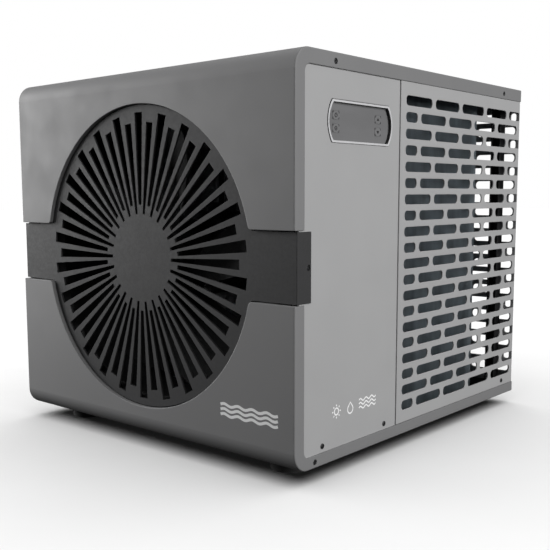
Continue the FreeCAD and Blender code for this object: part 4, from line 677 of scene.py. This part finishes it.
def mode_symbol(bm, turn):
    """A ring round a dot."""
    add_ribbon(bm, circle(MODE_R, 24), SYMBOL_LINE, SYMBOL_T, turn, closed=True)
    add_prism(bm, circle(MODE_DOT_R, 12), SYMBOL_T, turn)


def arrow_symbol(direction):
    """A solid triangle that points up for 1 and down for -1."""
    def draw(bm, turn):
        tip = direction * ARROW_TIP
        foot = -direction * ARROW_FOOT
        points = [(-ARROW_HALF_W, foot), (ARROW_HALF_W, foot), (0.0, tip)]
        if direction < 0:
            points.reverse()
        add_prism(bm, points, SYMBOL_T, turn)
    return draw


KEY_SYMBOLS = {
    "key_power": power_symbol,
    "key_mode": mode_symbol,
    "key_up": arrow_symbol(1),
    "key_down": arrow_symbol(-1),
}


def make_key_symbols():
    """The printed symbol on each key, which moves with its key."""
    for key, draw in KEY_SYMBOLS.items():
        low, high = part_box(key)
        middle = (low + high) / 2
        turn = facing(Vector((high.x, middle.y, middle.z)), RIGHT, UP)
        bm = bmesh.new()
        draw(bm, turn)
        add_corner_brackets(bm, turn)
        new_piece(key + "_symbol", bm, "dark_ink", key + "_cap", smooth=False)


# ---------------------------------------------------------------- painted marks
MARK_T = 0.05 * MM
MARK_LIFT = 0.01 * MM
FRONT_MARK_X = 124.5 * MM
FRONT_MARK_Z = 38.5 * MM
FRONT_WAVE_START = -29.5 * MM
FRONT_WAVE_LENGTH = 59.0 * MM
FRONT_WAVE_HEIGHT = 0.9 * MM
FRONT_WAVES = 4
FRONT_WAVE_LINE = 2.3 * MM
FRONT_WAVE_LEVELS = (-4.0 * MM, 0.0, 4.0 * MM)
SIDE_MARK_Y = -104.3 * MM
SIDE_MARK_Z = 38.3 * MM
SIDE_LINE = 1.1 * MM
SUN_U = -24.5 * MM
SUN_R = 2.7 * MM
SUN_RAYS = 8
SUN_RAY_R = (4.1 * MM, 5.6 * MM)
DROP_R = 3.6 * MM
DROP_CENTRE = (-6.0 * MM, -1.4 * MM)
DROP_START = 150
DROP_SWEEP = 240
SIDE_WAVE_START = 6.0 * MM
SIDE_WAVE_LENGTH = 24.0 * MM
SIDE_WAVE_HEIGHT = 1.0 * MM
SIDE_WAVES = 3
SIDE_WAVE_LEVELS = (-3.2 * MM, 0.0, 3.2 * MM)


def add_waves(bm, turn, start, length, height, waves, levels, line, steps=16):
    """Sine waves one above the other."""
    total = waves * steps
    for level in levels:
        wave = [(start + length * index / total,
                 height * math.sin(FULL_TURN * waves * index / total) + level) for index in range(total + 1)]
        add_ribbon(bm, wave, line, MARK_T, turn)


def make_front_mark():
    """Three bold water waves, one above the other, low on the right of the front."""
    place = Vector((CASE_X + FRONT_MARK_X, FRONT_Y + MARK_LIFT, CASE_BASE_Z + FRONT_MARK_Z))
    bm = bmesh.new()
    add_waves(bm, facing(place, FRONT, UP), FRONT_WAVE_START, FRONT_WAVE_LENGTH, FRONT_WAVE_HEIGHT,
              FRONT_WAVES, FRONT_WAVE_LEVELS, FRONT_WAVE_LINE)
    new_piece("front_wave_mark", bm, "white_ink", smooth=False)


def drop_outline(size, centre, steps=20):
    """A water drop: most of a circle below, drawn up to a point."""
    u0, v0 = centre
    line = [(u0, v0 + size * 1.5)]
    for index in range(steps + 1):
        angle = math.radians(DROP_START + DROP_SWEEP * index / steps)
        line.append((u0 + size * math.cos(angle), v0 + size * math.sin(angle)))
    return line


def make_side_mark():
    """Thin outline pictures of a sun, a water drop and waves, low on the control cover."""
    cover_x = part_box("control_cover")[1].x
    place = Vector((cover_x + MARK_LIFT, SIDE_MARK_Y, CASE_BASE_Z + SIDE_MARK_Z))
    turn = facing(place, RIGHT, UP)
    bm = bmesh.new()
    add_ribbon(bm, circle(SUN_R, 32, centre=(SUN_U, 0.0)), SIDE_LINE, MARK_T, turn, closed=True)
    for index in range(SUN_RAYS):
        angle = FULL_TURN * index / SUN_RAYS
        ray = [(SUN_U + r * math.cos(angle), r * math.sin(angle)) for r in SUN_RAY_R]
        add_ribbon(bm, ray, SIDE_LINE, MARK_T, turn)
    add_ribbon(bm, drop_outline(DROP_R, DROP_CENTRE), SIDE_LINE, MARK_T, turn, closed=True)
    add_waves(bm, turn, SIDE_WAVE_START, SIDE_WAVE_LENGTH, SIDE_WAVE_HEIGHT, SIDE_WAVES, SIDE_WAVE_LEVELS,
              SIDE_LINE)
    new_piece("side_picture_mark", bm, "white_ink", smooth=False)


# ---------------------------------------------------------------- floor, lights, camera
CAMERA_FROM_CASE = Vector((0.54997, -0.65196, 0.20583))
CAMERA_AZIMUTH = math.radians(41.198)
CAMERA_ELEVATION = math.radians(6.899)
CAMERA_ROLL = math.radians(-0.19)
CAMERA_LENS = 55.52
CAMERA_SHIFT = (0.02395, 0.04098)
CAMERA_SENSOR_W = 36.0
CAMERA_NEAR = 0.02


def make_camera():
    """The photograph's viewpoint: right of the front, below the top edge, tilted slightly down."""
    data = bpy.data.cameras.new("camera")
    data.lens = CAMERA_LENS
    data.sensor_width = CAMERA_SENSOR_W
    data.shift_x, data.shift_y = CAMERA_SHIFT
    data.clip_start = CAMERA_NEAR
    camera = bpy.data.objects.new("camera", data)
    bpy.context.scene.collection.objects.link(camera)
    back = Vector((math.sin(CAMERA_AZIMUTH) * math.cos(CAMERA_ELEVATION),
                   -math.cos(CAMERA_AZIMUTH) * math.cos(CAMERA_ELEVATION), math.sin(CAMERA_ELEVATION)))
    level = Vector((math.cos(CAMERA_AZIMUTH), math.sin(CAMERA_AZIMUTH), 0))
    upright = back.cross(level)
    right = level * math.cos(CAMERA_ROLL) + upright * math.sin(CAMERA_ROLL)
    up = upright * math.cos(CAMERA_ROLL) - level * math.sin(CAMERA_ROLL)
    place = Vector((CASE_X, 0, CASE_BASE_Z)) + CAMERA_FROM_CASE
    camera.matrix_world = Matrix((
        (right.x, up.x, back.x, place.x),
        (right.y, up.y, back.y, place.y),
        (right.z, up.z, back.z, place.z),
        (0.0, 0.0, 0.0, 1.0)))
    bpy.context.scene.camera = camera


def receivers(name, objects):
    """A collection that a light is limited to."""
    group = bpy.data.collections.new(name)
    for item in objects:
        group.objects.link(item)
    return group


def place_light(name, data, place, target, lit):
    """A light at place, aimed at target, that falls only on the collection lit."""
    light = bpy.data.objects.new(name, data)
    bpy.context.scene.collection.objects.link(light)
    light.location = place
    light.rotation_euler = (Vector(place) - Vector(target)).to_track_quat("Z", "Y").to_euler()
    light.light_linking.receiver_collection = lit


def softbox(name, place, target, size, power, lit):
    data = bpy.data.lights.new(name, "AREA")
    data.shape = "RECTANGLE"
    data.size, data.size_y = size
    data.energy = power
    place_light(name, data, place, target, lit)


# name, place, size and power of each softbox
SOFTBOXES = (
    ("softbox_right", (2.2, 0.1, 0.9), (1.6, 1.4), 56.0),
    ("softbox_left", (-1.2, -0.52, 0.45), (0.8, 0.8), 24.0),
    ("softbox_front", (0.1, -1.6, 1.6), (1.4, 1.4), 11.5),
    ("softbox_top", (-0.4, 0.4, 1.9), (1.6, 1.6), 12.0),
)
SOFTBOX_AIM_Z = 0.16
OVERHEAD_POWER = 4.0
OVERHEAD_SPREAD = math.radians(116)
OVERHEAD_Z = 3.0


def make_lights(floor):
    """Softboxes light the object, and a broad overhead light gives the floor its soft shadow."""
    pieces = [item for item in bpy.context.scene.objects if item.type == "MESH" and item is not floor]
    lit_object = receivers("lit_object", pieces)
    lit_floor = receivers("lit_floor", [floor])
    for name, place, size, power in SOFTBOXES:
        softbox(name, place, (CASE_X, 0.0, SOFTBOX_AIM_Z), size, power, lit_object)
    data = bpy.data.lights.new("overhead", "SUN")
    data.energy = OVERHEAD_POWER
    data.angle = OVERHEAD_SPREAD
    place_light("overhead", data, (0.0, 0.0, OVERHEAD_Z), (0.0, 0.0, 0.0), lit_floor)


WORLD_FILL = 0.04


def make_world():
    """White to the camera, and a weak even fill to everything else."""
    world = bpy.data.worlds.new("studio")
    world.use_nodes = True
    bpy.context.scene.world = world
    tree = world.node_tree
    fill = tree.nodes["Background"]
    fill.inputs["Color"].default_value = (1.0, 1.0, 1.0, 1.0)
    fill.inputs["Strength"].default_value = WORLD_FILL
    white = tree.nodes.new("ShaderNodeBackground")
    white.inputs["Color"].default_value = (1.0, 1.0, 1.0, 1.0)
    path = tree.nodes.new("ShaderNodeLightPath")
    mix = tree.nodes.new("ShaderNodeMixShader")
    tree.links.new(path.outputs["Is Camera Ray"], mix.inputs["Fac"])
    tree.links.new(fill.outputs["Background"], mix.inputs[1])
    tree.links.new(white.outputs["Background"], mix.inputs[2])
    tree.links.new(mix.outputs["Shader"], tree.nodes["World Output"].inputs["Surface"])


FLOOR_R = 12.0
FLOOR_SIDES = 96


def make_floor():
    """A pale matt disc, wide enough to run into the white surround; it throws no light back up."""
    bm = bmesh.new()
    bmesh.ops.create_circle(bm, cap_ends=True, segments=FLOOR_SIDES, radius=FLOOR_R)
    mesh = bpy.data.meshes.new("floor")
    bm.to_mesh(mesh)
    bm.free()
    floor = bpy.data.objects.new("floor", mesh)
    bpy.context.scene.collection.objects.link(floor)
    recipe = Recipe("floor")
    recipe.shader.inputs["Specular IOR Level"].default_value = 0.0
    tone = recipe.remap(recipe.noise(6.0), 0.0, 1.0)
    recipe.colour(recipe.blend(tone, (0.80, 0.80, 0.80), (0.82, 0.82, 0.82)))
    recipe.rough(recipe.remap(recipe.noise(40.0), 0.6, 0.8))
    mesh.materials.append(recipe.material)
    floor.visible_diffuse = False
    floor.visible_glossy = False
    return floor


def set_view():
    """Standard colours, with no film look."""
    settings = bpy.context.scene.view_settings
    settings.view_transform = "Standard"
    settings.look = "None"


random.seed(7)
dress_frame()
make_casing_screws()
make_fin_pack()
make_hose_tails()
make_key_symbols()
make_front_mark()
make_side_mark()
make_camera()
make_lights(make_floor())
make_world()
set_view()
